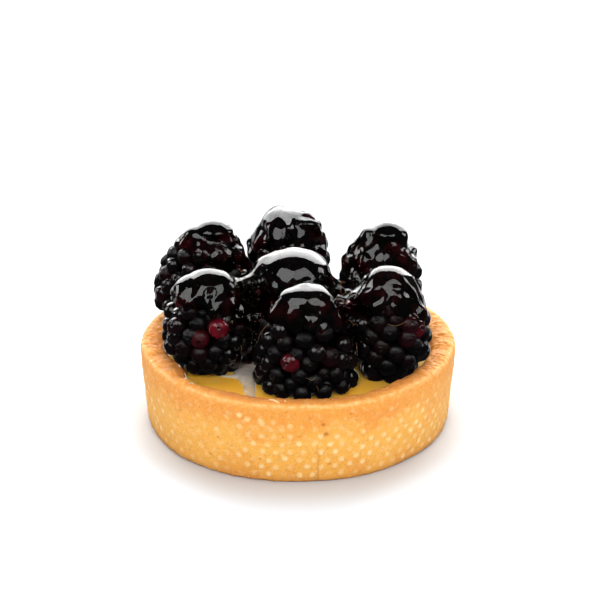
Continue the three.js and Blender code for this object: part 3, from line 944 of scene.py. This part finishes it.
# %% Growing each berry
def seed_points(name, places, out, size, **more):
    """A mesh of loose points that carries a direction, a size and any other value for each."""
    mesh = bpy.data.meshes.new(name)
    mesh.from_pydata((places * MM).tolist(), [], [])
    piece = bpy.data.objects.new(name, mesh)
    directions = mesh.attributes.new("out", "FLOAT_VECTOR", "POINT")
    directions.data.foreach_set("vector", out.astype(np.float32).ravel())
    for attribute, values in {"size": size * MM, **more}.items():
        give_attribute(piece, attribute, values)
    bpy.context.scene.collection.objects.link(piece)
    return piece


def grow(piece, tree, names, **values):
    """Runs a Geometry Nodes tree on a piece and keeps the result as its plain mesh."""
    modifier = piece.modifiers.new("grow", "NODES")
    modifier.node_group = tree
    for name, value in values.items():
        modifier[names[name]] = value
    evaluated = piece.evaluated_get(bpy.context.evaluated_depsgraph_get())
    mesh = bpy.data.meshes.new_from_object(evaluated)
    piece.modifiers.remove(modifier)
    mesh.name = piece.name
    piece.data = mesh


BEAD_UNEVENNESS = 0.6 * MM
brambles = []
for index, node in enumerate(BERRIES):
    beads = berries[node]
    piece = seed_points(node.replace("berry_", "bramble_"), beads["centres"], beads["out"], beads["size"],
                        redness=beads["ripe"], wet=beads["wet"])
    grow(piece, bead_tree, bead_inputs, Unevenness=BEAD_UNEVENNESS, Seed=index, Material=skin)
    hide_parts(node)
    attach(piece, "root")
    brambles.append(piece)
    print(piece.name, "has", len(piece.data.polygons), "faces")

# %% [markdown]
# ## The glaze
# Warm glaze was spooned over the tops. It lies thick on the crowns, hides the beads there, bridges
# from berry to berry, and stops in rounded lobes lower down where it set as it ran. A liquid form
# like this is easiest as a field: a number for every point of a grid, below zero inside the glaze.
# Soft minimums and maximums of simple fields round every meeting, and a net of small quads is then
# drawn where the field crosses zero.

# %% Soft joins of fields
def soft_min(first, second, width):
    overlap = np.clip(width - np.abs(first - second), 0, None) / width
    return np.minimum(first, second) - overlap * overlap * width / 4


def soft_max(first, second, width):
    return -soft_min(-first, -second, width)

# %% How far the glaze runs on each berry
# line: azimuth and, from the crown, the angle where the glaze stops there, with 0 the front and 90
# the right. cover: how deep it lies on the crown and lower down, below zero where beads stand out
# of it, and the angles between which it thins. lumpy: how uneven its top is. bulges: azimuth, angle
# from the crown, width and lift. heaped: whether the dome is heaped on this coat or cuts its top.
# crown_depth: how far below its top the dome starts to draw back, so that beads show again.
CAPS = {
    "berry_front": {
        "line": [(-130, 55), (-90, 42), (-63, 36), (-52, 36), (-36, 34), (-22, 37), (-11, 40), (-4, 37),
                 (-1, 28), (3, 30), (8, 36), (17, 41), (27, 41), (39, 39), (49, 42), (60, 44), (66, 50),
                 (90, 65), (130, 65), (180, 60)],
        "cover": (1.2, -0.50, 12, 28), "lumpy": 0.06, "heaped": False,
        "bulges": [(-11, 33, 6, 0.5), (21, 32, 5, 0.6), (42, 34, 7, 0.4), (1, 27, 5, -0.5), (-45, 28, 8, 0.4),
                   (-75, 25, 10, 1.2), (72, 25, 10, 1.2), (-20, 27, 3.5, 0.5), (8, 34, 3.5, -0.8),
                   (30, 27, 4, 0.6), (14, 40, 4, 0.5)]},
    "berry_front_left": {
        "line": [(-150, 56), (-110, 48), (-85, 38), (-69, 33), (-47, 42), (-35, 46), (-26, 43), (-20, 37),
                 (-8, 34), (2, 37), (5, 46), (10, 52), (17, 51), (24, 45), (34, 44), (41, 50), (44, 61),
                 (52, 66), (65, 74), (90, 88), (130, 80), (170, 62)],
        "cover": (1.1, -0.30, 16, 36), "lumpy": 0.06, "heaped": False,
        "bulges": [(-75, 28, 13, 1.3), (-42, 34, 11, 0.9), (12, 46, 6, 0.7), (-4, 34, 4, -0.5),
                   (14, 35, 8, 0.7), (12, 27, 4, -0.9), (40, 30, 9, 0.5), (68, 25, 11, 1.3)]},
    "berry_front_right": {
        "line": [(-140, 66), (-110, 76), (-70, 58), (-55, 50), (-43, 50), (-34, 50), (-21, 46), (-13, 48),
                 (-5, 46), (8, 44), (14, 49), (24, 53), (34, 57), (48, 67), (61, 72), (75, 68), (90, 60),
                 (130, 54), (180, 56)],
        "cover": (1.1, -0.45, 13, 30), "lumpy": 0.07, "heaped": False,
        "bulges": [(60, 60, 10, 1.3), (13, 23, 5, -1.0), (-48, 28, 8, 0.7), (85, 32, 12, 0.5),
                   (30, 40, 6, -0.5), (-15, 34, 6, 0.4), (-22, 27, 5, 0.7), (3, 33, 4, -0.6),
                   (25, 30, 5, 0.6), (12, 42, 5, 0.5)]},
    "berry_back_left": {
        "line": [(-135, 38), (-90, 32), (-56, 28), (-30, 29), (-2, 33), (9, 39), (30, 44), (43, 51), (58, 56),
                 (90, 70), (130, 62), (180, 46)],
        "cover": (-0.30, -0.75, 16, 34), "lumpy": 0.10, "heaped": True,
        "bulges": [(62, 21, 8, -0.9), (20, 34, 9, 0.4), (0, 12, 11, 0.4)]},
    "berry_back": {
        "line": [(-135, 64), (-96, 64), (-62, 80), (-30, 88), (0, 88), (40, 84), (69, 68), (80, 65),
                 (110, 59), (180, 62)],
        "cover": (-0.40, -0.80, 16, 40), "lumpy": 0.10, "heaped": True,
        "bulges": [(-70, 22, 12, 0.9), (-40, 30, 8, 0.4)]},
    "berry_back_right": {
        "line": [(-140, 56), (-100, 58), (-79, 62), (-38, 72), (-16, 75), (20, 68), (47, 54), (74, 50),
                 (110, 45), (180, 49)],
        "cover": (-0.40, -0.80, 15, 34), "lumpy": 0.10, "heaped": True,
        "bulges": [(8, 19, 6, 1.0), (-60, 22, 9, 0.3)]},
    "berry_middle": {
        "line": [(-140, 85), (-95, 88), (-60, 96), (0, 90), (60, 92), (100, 85), (140, 75), (180, 80)],
        "cover": (0.20, -0.30, 28, 48), "lumpy": 0.06, "heaped": True, "crown_depth": 3.4,
        "bulges": [(0, 36, 10, 0.3), (60, 40, 9, -0.6), (20, 44, 9, -0.4)]},
}
print(sum(len(cap["bulges"]) for cap in CAPS.values()), "bulges and dents in", len(CAPS), "caps")

# %% [markdown]
# ## One berry's glaze as a field
# A cap joins four things. The sheet follows the berry's envelope at some depth, with gentle lumps and
# bulges. The dome either cuts the sheet's top, which makes it smooth, or is heaped on it. The coat
# lies close on every bead. Last, the glaze stops at a line that goes up and down round the berry.

# %% Parts of a cap
HEAP_DEPTH = 2.2
COAT_SOFTNESS = 0.28


def direction(azimuth, polar):
    across = math.sin(math.radians(polar))
    return np.array([across * math.sin(math.radians(azimuth)), -across * math.cos(math.radians(azimuth)),
                     math.cos(math.radians(polar))], np.float32)


def lumps(way, seed, shortest=6.0, longest=11.0, reach=11.0):
    """Gentle unevenness, made of a few waves that cross each other."""
    draw = np.random.default_rng(seed)
    total = np.zeros(len(way), np.float32)
    for _ in range(7):
        wave = draw.normal(0, 1, 3)
        wave *= 2 * math.pi * reach / draw.uniform(shortest, longest) / np.linalg.norm(wave)
        total += np.sin(way @ wave.astype(np.float32) + draw.uniform(0, 6.3))
    return total / 2.2


def glaze_depth(cap, way, polar, past, seed):
    """How deep the sheet lies in each direction, with a rounded edge where it stops."""
    crown, edge, thins_from, thins_to = cap["cover"]
    depth = edge + (crown - edge) * smoothstep(thins_to, thins_from, polar)
    depth += 0.25 * np.exp(-((past + 1.2) / 1.0) ** 2) + cap["lumpy"] * lumps(way, seed)
    for azimuth_at, polar_at, wide, lift in cap["bulges"]:
        apart = np.degrees(np.arccos(np.clip(way @ direction(azimuth_at, polar_at), -1, 1)))
        depth += lift * np.exp(-(apart / wide) ** 2)
    return depth


def bead_coat(beads, points):
    coat = np.zeros(len(points), np.float32)
    for centre, size in zip(beads["centres"], beads["size"]):
        outside = np.linalg.norm(points - np.array(centre, np.float32), axis=1) - size
        coat += np.exp(-np.clip(outside, -3, 6) / COAT_SOFTNESS)
    return -COAT_SOFTNESS * np.log(coat + 1e-9) - 0.06

# %% A whole cap
def cap_field(beads, cap, domes, seed, points):
    away = points - beads["middle"]
    far = np.linalg.norm(away, axis=1)
    way = (away / np.maximum(far, 1e-6)[:, None]).astype(np.float32)
    smooth_reach = envelope(beads, way)
    polar = np.degrees(np.arccos(np.clip(way[:, 2], -1, 1)))
    azimuth = np.degrees(np.arctan2(way[:, 0], -way[:, 1]))
    toward, angle = np.array(cap["line"], float).T
    stop = np.interp(azimuth, toward, angle, period=360)
    past = np.radians(polar - stop) * np.minimum(far, smooth_reach)
    sheet = far - smooth_reach - glaze_depth(cap, way, polar, past, seed)
    dome = np.min([dome_field(points, *shape) for shape in domes], 0)
    top = max(middle[2] + halves[2] for middle, halves in domes)
    if cap["heaped"]:
        dome += 0.6 * np.clip(top - cap.get("crown_depth", 2.0) - points[:, 2], 0, None)
        sheet = soft_min(sheet, soft_max(far - smooth_reach - HEAP_DEPTH, dome, 1.4), 1.2)
    else:
        sheet = soft_max(sheet, dome, 1.2)
    cap_of_beads = soft_min(sheet, bead_coat(beads, points), 0.7)
    fine = 0.12 * smoothstep(top - 2.2, top - 4.5, points[:, 2])
    return soft_max(cap_of_beads, past, 1.0) - fine * lumps(way, seed + 50, 2.2, 4.5)

# %% Webs between the berries
# Where two berries stand close, glaze hangs between them and fills the cleft below. Each web is a
# rod with round ends: a place and radius, then another.
WEBS = [
    ((-14.3, -6.9, 36.6), 1.4, (-11.2, -4.4, 35.8), 1.2),
    ((-11.0, -3.8, 34.9), 2.2, (-8.0, 1.6, 37.6), 1.8),
    ((-12.2, -4.6, 34.0), 1.9, (-12.4, -6.5, 22.0), 2.4),
    ((-12.4, -6.5, 22.0), 2.4, (-12.2, -8.0, 17.0), 2.6),
    ((-13.0, 4.5, 34.0), 1.5, (-13.0, 4.0, 20.0), 2.2),
    ((11.8, -5.2, 33.0), 1.6, (12.0, -5.6, 18.0), 2.4),
    ((9.5, -9.0, 33.5), 1.2, (12.5, -9.0, 31.0), 1.4),
    ((-9.6, -13.0, 31.0), 1.0, (-11.0, -11.5, 24.0), 1.4),
    ((9.6, 2.0, 31.5), 2.2, (12.4, 4.0, 30.0), 2.0),
    ((12.0, 2.6, 30.0), 2.4, (12.4, 2.0, 18.0), 2.8),
    ((12.4, -13.6, 37.0), 0.35, (10.2, -15.5, 35.0), 0.35),
]
print(len(WEBS), "webs")


def web_field(start, start_radius, end, end_radius, points):
    side = np.array(end) - np.array(start)
    along = np.clip((points - np.array(start)) @ side / (side @ side), 0, 1)
    near = np.array(start) + along[:, None] * side
    return np.linalg.norm(points - near, axis=1) - start_radius - along * (end_radius - start_radius)

# %% Filling a grid
GRID_STEP = 0.4
GLAZE_LOW, GLAZE_HIGH = (-39.0, -34.0, 14.5), (37.0, 36.0, 47.5)
FAR_OUTSIDE = 4.0
CAP_SOFTNESS = 1.5
WEB_SOFTNESS = 2.4


def fill_grid(low, high, shapes):
    """A grid of a field's values, from shapes given as low and high corner, function and softness."""
    axes = [np.arange(start, end, GRID_STEP, dtype=np.float32) for start, end in zip(low, high)]
    field = np.full([len(axis) for axis in axes], FAR_OUTSIDE, np.float32)
    for box_low, box_high, shape, width in shapes:
        part = tuple(slice(*np.searchsorted(axis, ends)) for axis, *ends in zip(axes, box_low, box_high))
        mesh = np.meshgrid(*[axis[cut] for axis, cut in zip(axes, part)], indexing="ij")
        points = np.stack([side.ravel() for side in mesh], 1)
        values = shape(points).astype(np.float32).reshape(mesh[0].shape)
        field[part] = soft_min(field[part], values, width)
    return axes, field


def coat_shapes():
    shapes = []
    for index, node in enumerate(BERRIES):
        beads = berries[node]
        reach = beads["reach"].max() + 2.5
        bottom = np.append(beads["middle"][:2] - reach, beads["middle"][2] - 7)
        shape = partial(cap_field, beads, CAPS[node], DOMES[node], index)
        shapes.append((bottom, beads["middle"] + reach, shape, CAP_SOFTNESS))
    for start, start_radius, end, end_radius in WEBS:
        reach = max(start_radius, end_radius) + 3
        low, high = np.minimum(start, end) - reach, np.maximum(start, end) + reach
        shape = partial(web_field, start, start_radius, end, end_radius)
        shapes.append((low, high, shape, WEB_SOFTNESS))
    return shapes


axes, field = fill_grid(GLAZE_LOW, GLAZE_HIGH, coat_shapes())
print("the glaze field has", field.size, "points")

# %% [markdown]
# ## Drawing the liquid's surface
# The surface lies where the field changes sign. Every cell of the grid that it passes through gets
# one point, the mean of the places where it crosses the cell's edges. Every edge that it crosses gets
# a quad, which joins the points of the four cells round that edge. The points then slide along the
# field's slope until the field is zero there, so that reflections run smoothly over the net.

# %% Points where the field crosses zero
CORNERS = [(i, j, k) for i in (0, 1) for j in (0, 1) for k in (0, 1)]


def crossed_cells(inside, shape):
    count = np.zeros(shape, np.int8)
    for corner in CORNERS:
        count += inside[tuple(slice(start, start + size) for start, size in zip(corner, shape))]
    return np.argwhere((count > 0) & (count < len(CORNERS)))


def mean_crossings(field, cells):
    total, crossings = np.zeros((len(cells), 3)), np.zeros(len(cells))
    for first in CORNERS:
        for axis in range(3):
            if first[axis]:
                continue
            second = tuple(value + (place == axis) for place, value in enumerate(first))
            start = field[tuple((cells + first).T)]
            end = field[tuple((cells + second).T)]
            crossed = (start < 0) != (end < 0)
            share = np.where(crossed, start / np.where(crossed, start - end, 1), 0)
            spot = np.array(first) + share[:, None] * np.eye(3)[axis]
            total += np.where(crossed[:, None], spot, 0)
            crossings += crossed
    return cells + total / crossings[:, None]

# %% Quads across the crossed edges
def crossed_quads(inside, shape, number):
    quads = []
    for axis in range(3):
        one, two = [other for other in range(3) if other != axis]
        behind = np.take(inside, range(shape[axis]), axis)
        ahead = np.take(inside, range(1, shape[axis] + 1), axis)
        edges = np.argwhere(behind != ahead)
        edges = edges[(edges[:, one] > 0) & (edges[:, two] > 0)
                      & (edges[:, one] < shape[one]) & (edges[:, two] < shape[two])]
        leaving = behind[tuple(edges.T)]
        if axis == 1:
            leaving = ~leaving
        steps = np.zeros((4, 3), int)
        steps[[0, 3], one] = -1
        steps[[0, 1], two] = -1
        ring = np.stack([number[tuple((edges + step).T)] for step in steps], 1)
        quads.append(np.where(leaving[:, None], ring, ring[:, ::-1]))
    return np.concatenate(quads)


def surface_net(field):
    inside = field < 0
    shape = np.array(field.shape) - 1
    cells = crossed_cells(inside, shape)
    number = np.full(shape, -1, np.int64)
    number[tuple(cells.T)] = np.arange(len(cells))
    return mean_crossings(field, cells), crossed_quads(inside, shape, number)

# %% Settling the net on the surface
SETTLING_STEPS = 3
LONGEST_STEP = 0.3


def sampled(array, spots):
    """Values of a grid between its points."""
    base = np.clip(np.floor(spots).astype(int), 0, np.array(array.shape[:3]) - 2)
    part = spots - base
    result = 0
    for corner in CORNERS:
        weight = np.abs(1 - np.array(corner) - part).prod(1)
        values = array[tuple((base + corner).T)]
        result = result + (weight[:, None] * values if values.ndim > 1 else weight * values)
    return result


def settle_on_surface(points, field):
    slope = np.stack(np.gradient(field), -1)
    for _ in range(SETTLING_STEPS):
        gradient = sampled(slope, points)
        steepness = (gradient ** 2).sum(1)
        step = (sampled(field, points) / np.maximum(steepness, 0.02))[:, None] * gradient
        points = points - np.clip(step, -LONGEST_STEP, LONGEST_STEP)
    return points


def liquid_piece(name, axes, field, material):
    points, quads = surface_net(field)
    points = settle_on_surface(points, field)
    start = np.array([axis[0] for axis in axes])
    print(name, "has", len(quads), "quads")
    return make_piece(name, start + points * GRID_STEP, quads.tolist(), material)

# %% Dulling the skin that lies under the glaze
SKINS = (skin, wet_skin, glazed_skin, core_shade_skin)
UNDER_GLAZE = -0.05


def dull_covered_skin(piece):
    """Each face gets its skin: 3 in the core, 2 under glaze, 1 where a film lies on it, else 0."""
    mesh = piece.data
    start = np.array([axis[0] for axis in axes])
    spots = (read_all(mesh.polygons, "center") / MM - start) / GRID_STEP
    within = ((spots > 0) & (spots < np.array(field.shape) - 1)).all(1)
    depth = np.where(within, sampled(field, np.where(within[:, None], spots, 0)), 1)
    first = np.array([face.vertices[0] for face in mesh.polygons])
    on_bead = read_all(mesh.attributes["on_bead"].data, "vector")[first]
    wet = read_all(mesh.attributes["wet"].data, "value", 1)[first, 0]
    # Faces of the core get the matte black of painted shade.
    in_core = np.linalg.norm(on_bead, axis=1) < 0.5
    mesh.materials.clear()
    for material in SKINS:
        mesh.materials.append(material)
    choice = np.where(in_core, 3, np.where(depth < UNDER_GLAZE, 2, np.where(wet > 0.5, 1, 0)))
    mesh.polygons.foreach_set("material_index", choice.astype(np.int32))
    print(piece.name, "has", int((depth < UNDER_GLAZE).sum()), "faces under glaze")


for piece in brambles:
    dull_covered_skin(piece)

# %% [markdown]
# ## The glaze's look
# It is clear jelly tinted by berry juice: light bends into it, and what comes back from thick places
# is wine red. So the surface is smooth glass with a lower index, and a volume inside takes out green
# and blue over a millimetre or two. The tops of the three berries behind get a second glaze that
# bends light less and so mirrors less, or they would vanish against the white behind them.

# %% Glaze material and piece
CLEAR = (1.0, 0.93, 0.94, 1)
JUICE = (0.52, 0.10, 0.13, 1)
JUICE_STRENGTH = 1300.0
BENDING = 1.45
BENDING_BEHIND = 1.27


def make_glaze_material(name, bending):
    material, tree = new_material(name)
    ripple = bumped(tree, speckle(tree, object_place(tree), 240, 1.0), 0.12, 0.5)
    juice = put(tree, "ShaderNodeVolumeAbsorption", {"Color": JUICE, "Density": JUICE_STRENGTH})
    finish_material(tree, {"Base Color": CLEAR, "Roughness": 0.03, "IOR": bending,
                           "Transmission Weight": 1.0, "Normal": ripple}, juice.outputs["Volume"])
    return material


def soften_far_crowns(piece):
    faces = piece.data.polygons
    piece.data.materials.append(make_glaze_material("clear_glaze_behind", BENDING_BEHIND))
    middles, normals = read_all(faces, "center") / MM, read_all(faces, "normal")
    plan = np.array([berries[node]["middle"][:2] for node in BERRIES])
    nearest = np.linalg.norm(middles[:, None, :2] - plan, axis=2).argmin(1)
    behind = np.array([node.startswith("berry_back") for node in BERRIES])[nearest]
    chosen = behind & (normals[:, 1] > -0.25) & (normals[:, 2] > 0.2)
    faces.foreach_set("material_index", chosen.astype(np.int32))
    print(int(chosen.sum()), "faces of the far crowns")


glaze = liquid_piece("glaze_coat", axes, field, make_glaze_material("clear_glaze", BENDING))
soften_far_crowns(glaze)
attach(glaze, "root")

# %% [markdown]
# ## The stream on the custard
# Between the two left berries the glaze ran down and over the custard to the crust. There it picked
# up custard and turned cloudy, so it is pale, wet and see-through only a little. Its plan is a path
# of places with half a width each, and its left edge is ragged. A thin film spreads to its left.
# Both are fields, as the coat is, so their edges are round and they run into each other.

# %% The stream
STREAM = [(-12.0, -4.0, 2.6), (-12.2, -10.0, 3.0), (-12.2, -14.5, 2.7), (-11.6, -18.5, 1.8),
          (-11.2, -22.0, 1.5), (-10.9, -25.0, 1.4), (-10.8, -27.6, 1.1)]
FILM = [(-12.5, -15.6, 1.8), (-15.0, -15.8, 1.2), (-17.8, -15.4, 0.7)]
STREAM_DEPTH = 0.65
FILM_DEPTH = 0.35
STREAM_LOW, STREAM_HIGH = (-20, -30, 15), (-7, 2, 20)
CLOUDY_CREAM = (0.80, 0.58, 0.32, 1)
CLOUDY_GREY = (0.50, 0.45, 0.40, 1)
CLOUDY_PALE = (0.70, 0.62, 0.51, 1)


def path_field(path, points):
    nearest = np.full(len(points), 1e3, np.float32)
    ragged = 0.25 * np.sin(1.3 * points[:, 1] + 0.5) + 0.10 * np.sin(3.1 * points[:, 1])
    for first, second in zip(path[:-1], path[1:]):
        start, side = np.array(first[:2]), np.array(second[:2]) - np.array(first[:2])
        along = np.clip((points[:, :2] - start) @ side / (side @ side), 0, 1)
        apart = points[:, :2] - start - along[:, None] * side
        half = first[2] + along * (second[2] - first[2]) + ragged * smoothstep(0.3, -0.8, apart[:, 0])
        nearest = np.minimum(nearest, np.linalg.norm(apart, axis=1) - half)
    return nearest


def stream_field(thickness, path, points):
    top = points[:, 2] - CUSTARD_LEVEL - thickness
    bottom = CUSTARD_LEVEL - 0.8 - points[:, 2]
    return soft_max(soft_max(top, path_field(path, points), 1.3), bottom, 0.3)


def make_stream_material():
    material, tree = new_material("cloudy_glaze")
    place = object_place(tree)
    along = put(tree, "ShaderNodeSeparateXYZ", {0: place}).outputs["Y"]
    colour = mixed(tree, ranged(tree, along, -26 * MM, -15 * MM), CLOUDY_CREAM, CLOUDY_GREY)
    colour = mixed(tree, ranged(tree, speckle(tree, place, 420, 2), 0.35, 0.7), colour, CLOUDY_PALE)
    ripple = bumped(tree, speckle(tree, place, 500, 1.0), 0.2, 0.3)
    finish_material(tree, {"Base Color": colour, "Roughness": 0.08, "IOR": BENDING,
                           "Transmission Weight": 0.15, "Normal": ripple})
    return material


stream_shapes = [(STREAM_LOW, STREAM_HIGH, partial(stream_field, STREAM_DEPTH, STREAM), 0.5),
                 (STREAM_LOW, STREAM_HIGH, partial(stream_field, FILM_DEPTH, FILM), 0.8)]
stream_axes, stream_values = fill_grid(STREAM_LOW, STREAM_HIGH, stream_shapes)
stream = liquid_piece("glaze_stream", stream_axes, stream_values, make_stream_material())
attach(stream, "root")

# %% [markdown]
# ## Hairs, threads and bubbles
# Small things make food look real. Each ripe bead may keep its flower's thread, a fine golden hair,
# and a few longer ones are listed. Thin threads of glaze lie on the inner edge of the crust, and
# their white is a painted glint of the wet edge. Two curls of dough lie on the rim, and small bubbles
# stayed where the glaze lies deep between the berries; their pale grey is a painted sparkle. Hairs,
# threads and curls are thin tubes along rounded paths.

# %% Thin tubes
TUBE_SIDES = 4


def tube(places, radius):
    """Points and faces of a tube along a path, thinner toward both ends."""
    ahead = np.gradient(places, axis=0)
    ahead /= np.linalg.norm(ahead, axis=1)[:, None]
    aside = np.cross(ahead, [0.31, 0.22, 0.93])
    aside /= np.linalg.norm(aside, axis=1)[:, None]
    above = np.cross(ahead, aside)
    thick = radius * (0.35 + 0.65 * np.sin(np.linspace(0.25, math.pi - 0.25, len(places))))
    turn = np.arange(TUBE_SIDES) * 2 * math.pi / TUBE_SIDES
    ring = np.cos(turn)[None, :, None] * aside[:, None] + np.sin(turn)[None, :, None] * above[:, None]
    points = (places[:, None] + thick[:, None, None] * ring).reshape(-1, 3)
    return points, turned_faces(len(places), TUBE_SIDES)


def tubes_piece(name, paths, material):
    points, faces = [], []
    for places, radius in paths:
        first = sum(len(part) for part in points)
        more_points, more_faces = tube(places, radius)
        points.append(more_points)
        faces += [[first + corner for corner in face] for face in more_faces]
    piece = make_piece(name, np.vstack(points), faces, material)
    print(name, "has", len(points), "tubes and", len(faces), "faces")
    return piece


def smooth_path(corners, count):
    """A rounded path through a few places."""
    corners = cut_corners(np.array(corners, float), 3)
    steps = np.concatenate([[0], np.cumsum(np.linalg.norm(np.diff(corners, axis=0), axis=1))])
    return np.stack([np.interp(np.linspace(0, steps[-1], count), steps, column) for column in corners.T], 1)

# %% Hairs
HAIR_SHARE = 0.20
HAIR_BROWN = (0.26, 0.13, 0.045, 1)
LONG_HAIR_RADIUS = 0.032
LONG_HAIRS = {
    "berry_front_right": [[(20.2, -22.4, 33.6), (21.6, -23.4, 33.2), (23.6, -23.3, 33.9),
                           (24.6, -22.6, 34.4)],
                          [(13.2, -20.6, 28.0), (13.4, -21.6, 26.6), (13.5, -21.9, 25.2)]],
    "berry_front": [[(-6.6, -24.4, 34.4), (-7.8, -24.9, 33.4), (-8.9, -25.2, 31.6), (-9.0, -25.2, 30.4)],
                    [(1.8, -31.2, 24.2), (3.2, -31.6, 23.6), (4.0, -31.4, 24.4)]],
    "berry_front_left": [[(-19.2, -21.6, 33.2), (-20.2, -22.4, 32.2), (-19.8, -22.3, 31.0)]],
}


def hair_corners(draw, tip, out):
    """A hair leaves the bead straight, bends aside and droops."""
    aside = np.cross(out, draw.normal(0, 1, 3))
    aside /= np.linalg.norm(aside)
    long = draw.uniform(0.6, 1.7)
    bend = draw.uniform(0.5, 1.2)
    return [tip, tip + 0.35 * long * out + 0.2 * long * aside,
            tip + 0.55 * long * out + bend * 0.6 * long * aside,
            tip + 0.5 * long * out + bend * long * aside - [0, 0, 0.3 * long]]


def hair_paths():
    draw = np.random.default_rng(77)
    paths = []
    for node in BERRIES:
        beads = berries[node]
        for out, centre, size in zip(beads["out"], beads["centres"], beads["size"]):
            if draw.uniform() > HAIR_SHARE or out[2] < -0.3:
                continue
            corners = hair_corners(draw, centre + out * size * 0.93, out)
            paths.append((smooth_path(corners, 7), draw.uniform(0.022, 0.036)))
        paths += [(smooth_path(corners, 12), LONG_HAIR_RADIUS) for corners in LONG_HAIRS.get(node, [])]
    return paths


hairs = tubes_piece("bramble_hairs", hair_paths(), simple_material("dry_hair", HAIR_BROWN, 0.5))
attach(hairs, "root")

# %% White threads and curls on the crust
# Each is a path in plan and a radius, and it lies on what is below it.
THREADS = [([(-28.6, -13.6), (-28.0, -14.6), (-27.4, -16.0)], 0.24),
           ([(-26.3, -17.4), (-25.6, -18.6), (-25.1, -20.0), (-25.0, -21.6), (-25.4, -23.2),
             (-25.9, -24.2)], 0.23),
           ([(-24.8, -25.6), (-24.3, -25.0), (-23.6, -25.2)], 0.10)]
CURLS = [([(-6.5, -33.8), (-5.4, -34.6), (-4.2, -35.7)], 0.34), ([(-3.1, -34.4), (-2.7, -34.8)], 0.25)]
# Painted glint: the threads are white for the gleam of the glaze's wet edge on the crust.
GLINT_WHITE = (0.95, 0.87, 0.74, 1)
DOUGH_PALE = (0.97, 0.62, 0.28, 1)
DROP_HEIGHT = 60


def dropped(paths, lifted):
    """The same paths with heights from what lies below, each lifted by a share of its radius."""
    result = []
    for corners, radius in paths:
        places = smooth_path([(x, y, 0) for x, y in corners], 14)
        for place in places:
            start = Vector((place[0], place[1], DROP_HEIGHT)) * MM
            found = [thing.ray_cast(start, Vector((0, 0, -1))) for thing in (crust, custard)]
            place[2] = max(hit[1].z for hit in found if hit[0]) / MM + lifted * radius
        result.append((places, radius))
    return result


# The threads' white is a painted glint.
glint_white = simple_material("glint_white_thread", GLINT_WHITE, 0.15)
threads = tubes_piece("glaze_threads", dropped(THREADS, 0.6), glint_white)
pale_dough = simple_material("pale_dough", DOUGH_PALE, 0.6, 0.3)
curls = tubes_piece("crust_curls", dropped(CURLS, 0.2), pale_dough)
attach(curls, "root")
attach(threads, "root")

# %% [markdown]
# ## Bubbles and crumbs
# Both are small round bits at many places, so they share one tree: a coarse ball on every point,
# turned at random, and roughened for a crumb. Bubbles sit in the clefts, where a web fills the space,
# and their pale grey is a painted sparkle. Crumbs lie along the foot of the wall, and a few on the rim.

# %% The tree for small round bits
def make_bits_tree():
    tree, names, given = start_tree("small_bits", Fineness=1, Unevenness=0.0, Seed=0)
    bit = put(tree, "GeometryNodeMeshIcoSphere", {"Radius": 1.0, "Subdivisions": given["Fineness"]})
    turn = put(tree, "FunctionNodeRandomValue", {"Seed": given["Seed"]}, data_type="FLOAT_VECTOR")
    turn.inputs["Max"].default_value = (6.28, 6.28, 6.28)
    copies = put(tree, "GeometryNodeInstanceOnPoints", {
        "Points": given["Geometry"], "Instance": bit.outputs["Mesh"], "Rotation": turn.outputs["Value"],
        "Scale": same_thrice(tree, named(tree, "size", "FLOAT"))})
    end_tree(tree, roughened(tree, copies, given["Unevenness"], 2600.0, 1.0), given["Material"])
    return tree, names


bits_tree, bits_inputs = make_bits_tree()
print("the tree for bits has", len(bits_tree.nodes), "nodes")

# %% Bubbles and crumbs
BUBBLE_COUNT = 900
CRUMB_COUNT = 260
CRUMB_UNEVENNESS = 0.30 * MM
# Painted sparkle: the bubbles are opaque pale grey, so they show as glints in the dark clefts.
BUBBLE_SPARKLE_GREY = (0.55, 0.50, 0.44, 1)


def bubble_places():
    draw = np.random.default_rng(5)
    points = read_all(glaze.data.vertices, "co") / MM
    deep = np.min([web_field(*web, points) for web in WEBS], 0)
    weight = np.exp(-np.clip(deep, 0, 20) / 1.6) + 0.02
    weight *= (points[:, 2] > 19) & (points[:, 2] < 42)
    return points[draw.choice(len(points), BUBBLE_COUNT, replace=False, p=weight / weight.sum())]


def crumb_places():
    draw = np.random.default_rng(6)
    angle = draw.uniform(-math.pi, math.pi, CRUMB_COUNT)
    low = draw.uniform(0, 1, CRUMB_COUNT) < 0.93
    radius = np.where(low, FOOT_RADIUS + draw.normal(0.05, 0.12, CRUMB_COUNT),
                      RIM_RADIUS - draw.uniform(0.5, 4.0, CRUMB_COUNT))
    height = np.where(low, draw.uniform(0.35, 1.0, CRUMB_COUNT), 20.15)
    radius = radius + outline_wave(angle)
    return np.stack([radius * np.cos(angle), radius * np.sin(angle), height], 1)


def scatter(name, places, size, unevenness, material):
    piece = seed_points(name, places, np.tile([0.0, 0.0, 1.0], (len(places), 1)), size)
    grow(piece, bits_tree, bits_inputs, Unevenness=unevenness, Material=material)
    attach(piece, "root")
    print(name, "has", len(piece.data.polygons), "faces")


draw = np.random.default_rng(8)
bubble_sizes = 0.03 + 0.09 * draw.uniform(0, 1, BUBBLE_COUNT) ** 3
crumb_sizes = draw.uniform(0.04, 0.15, CRUMB_COUNT)
bubble_sparkle_look = simple_material("bubble", BUBBLE_SPARKLE_GREY, 0.12)
scatter("glaze_bubbles", bubble_places(), bubble_sizes, 0.0, bubble_sparkle_look)
scatter("crust_crumbs", crumb_places(), crumb_sizes, CRUMB_UNEVENNESS, pastry)
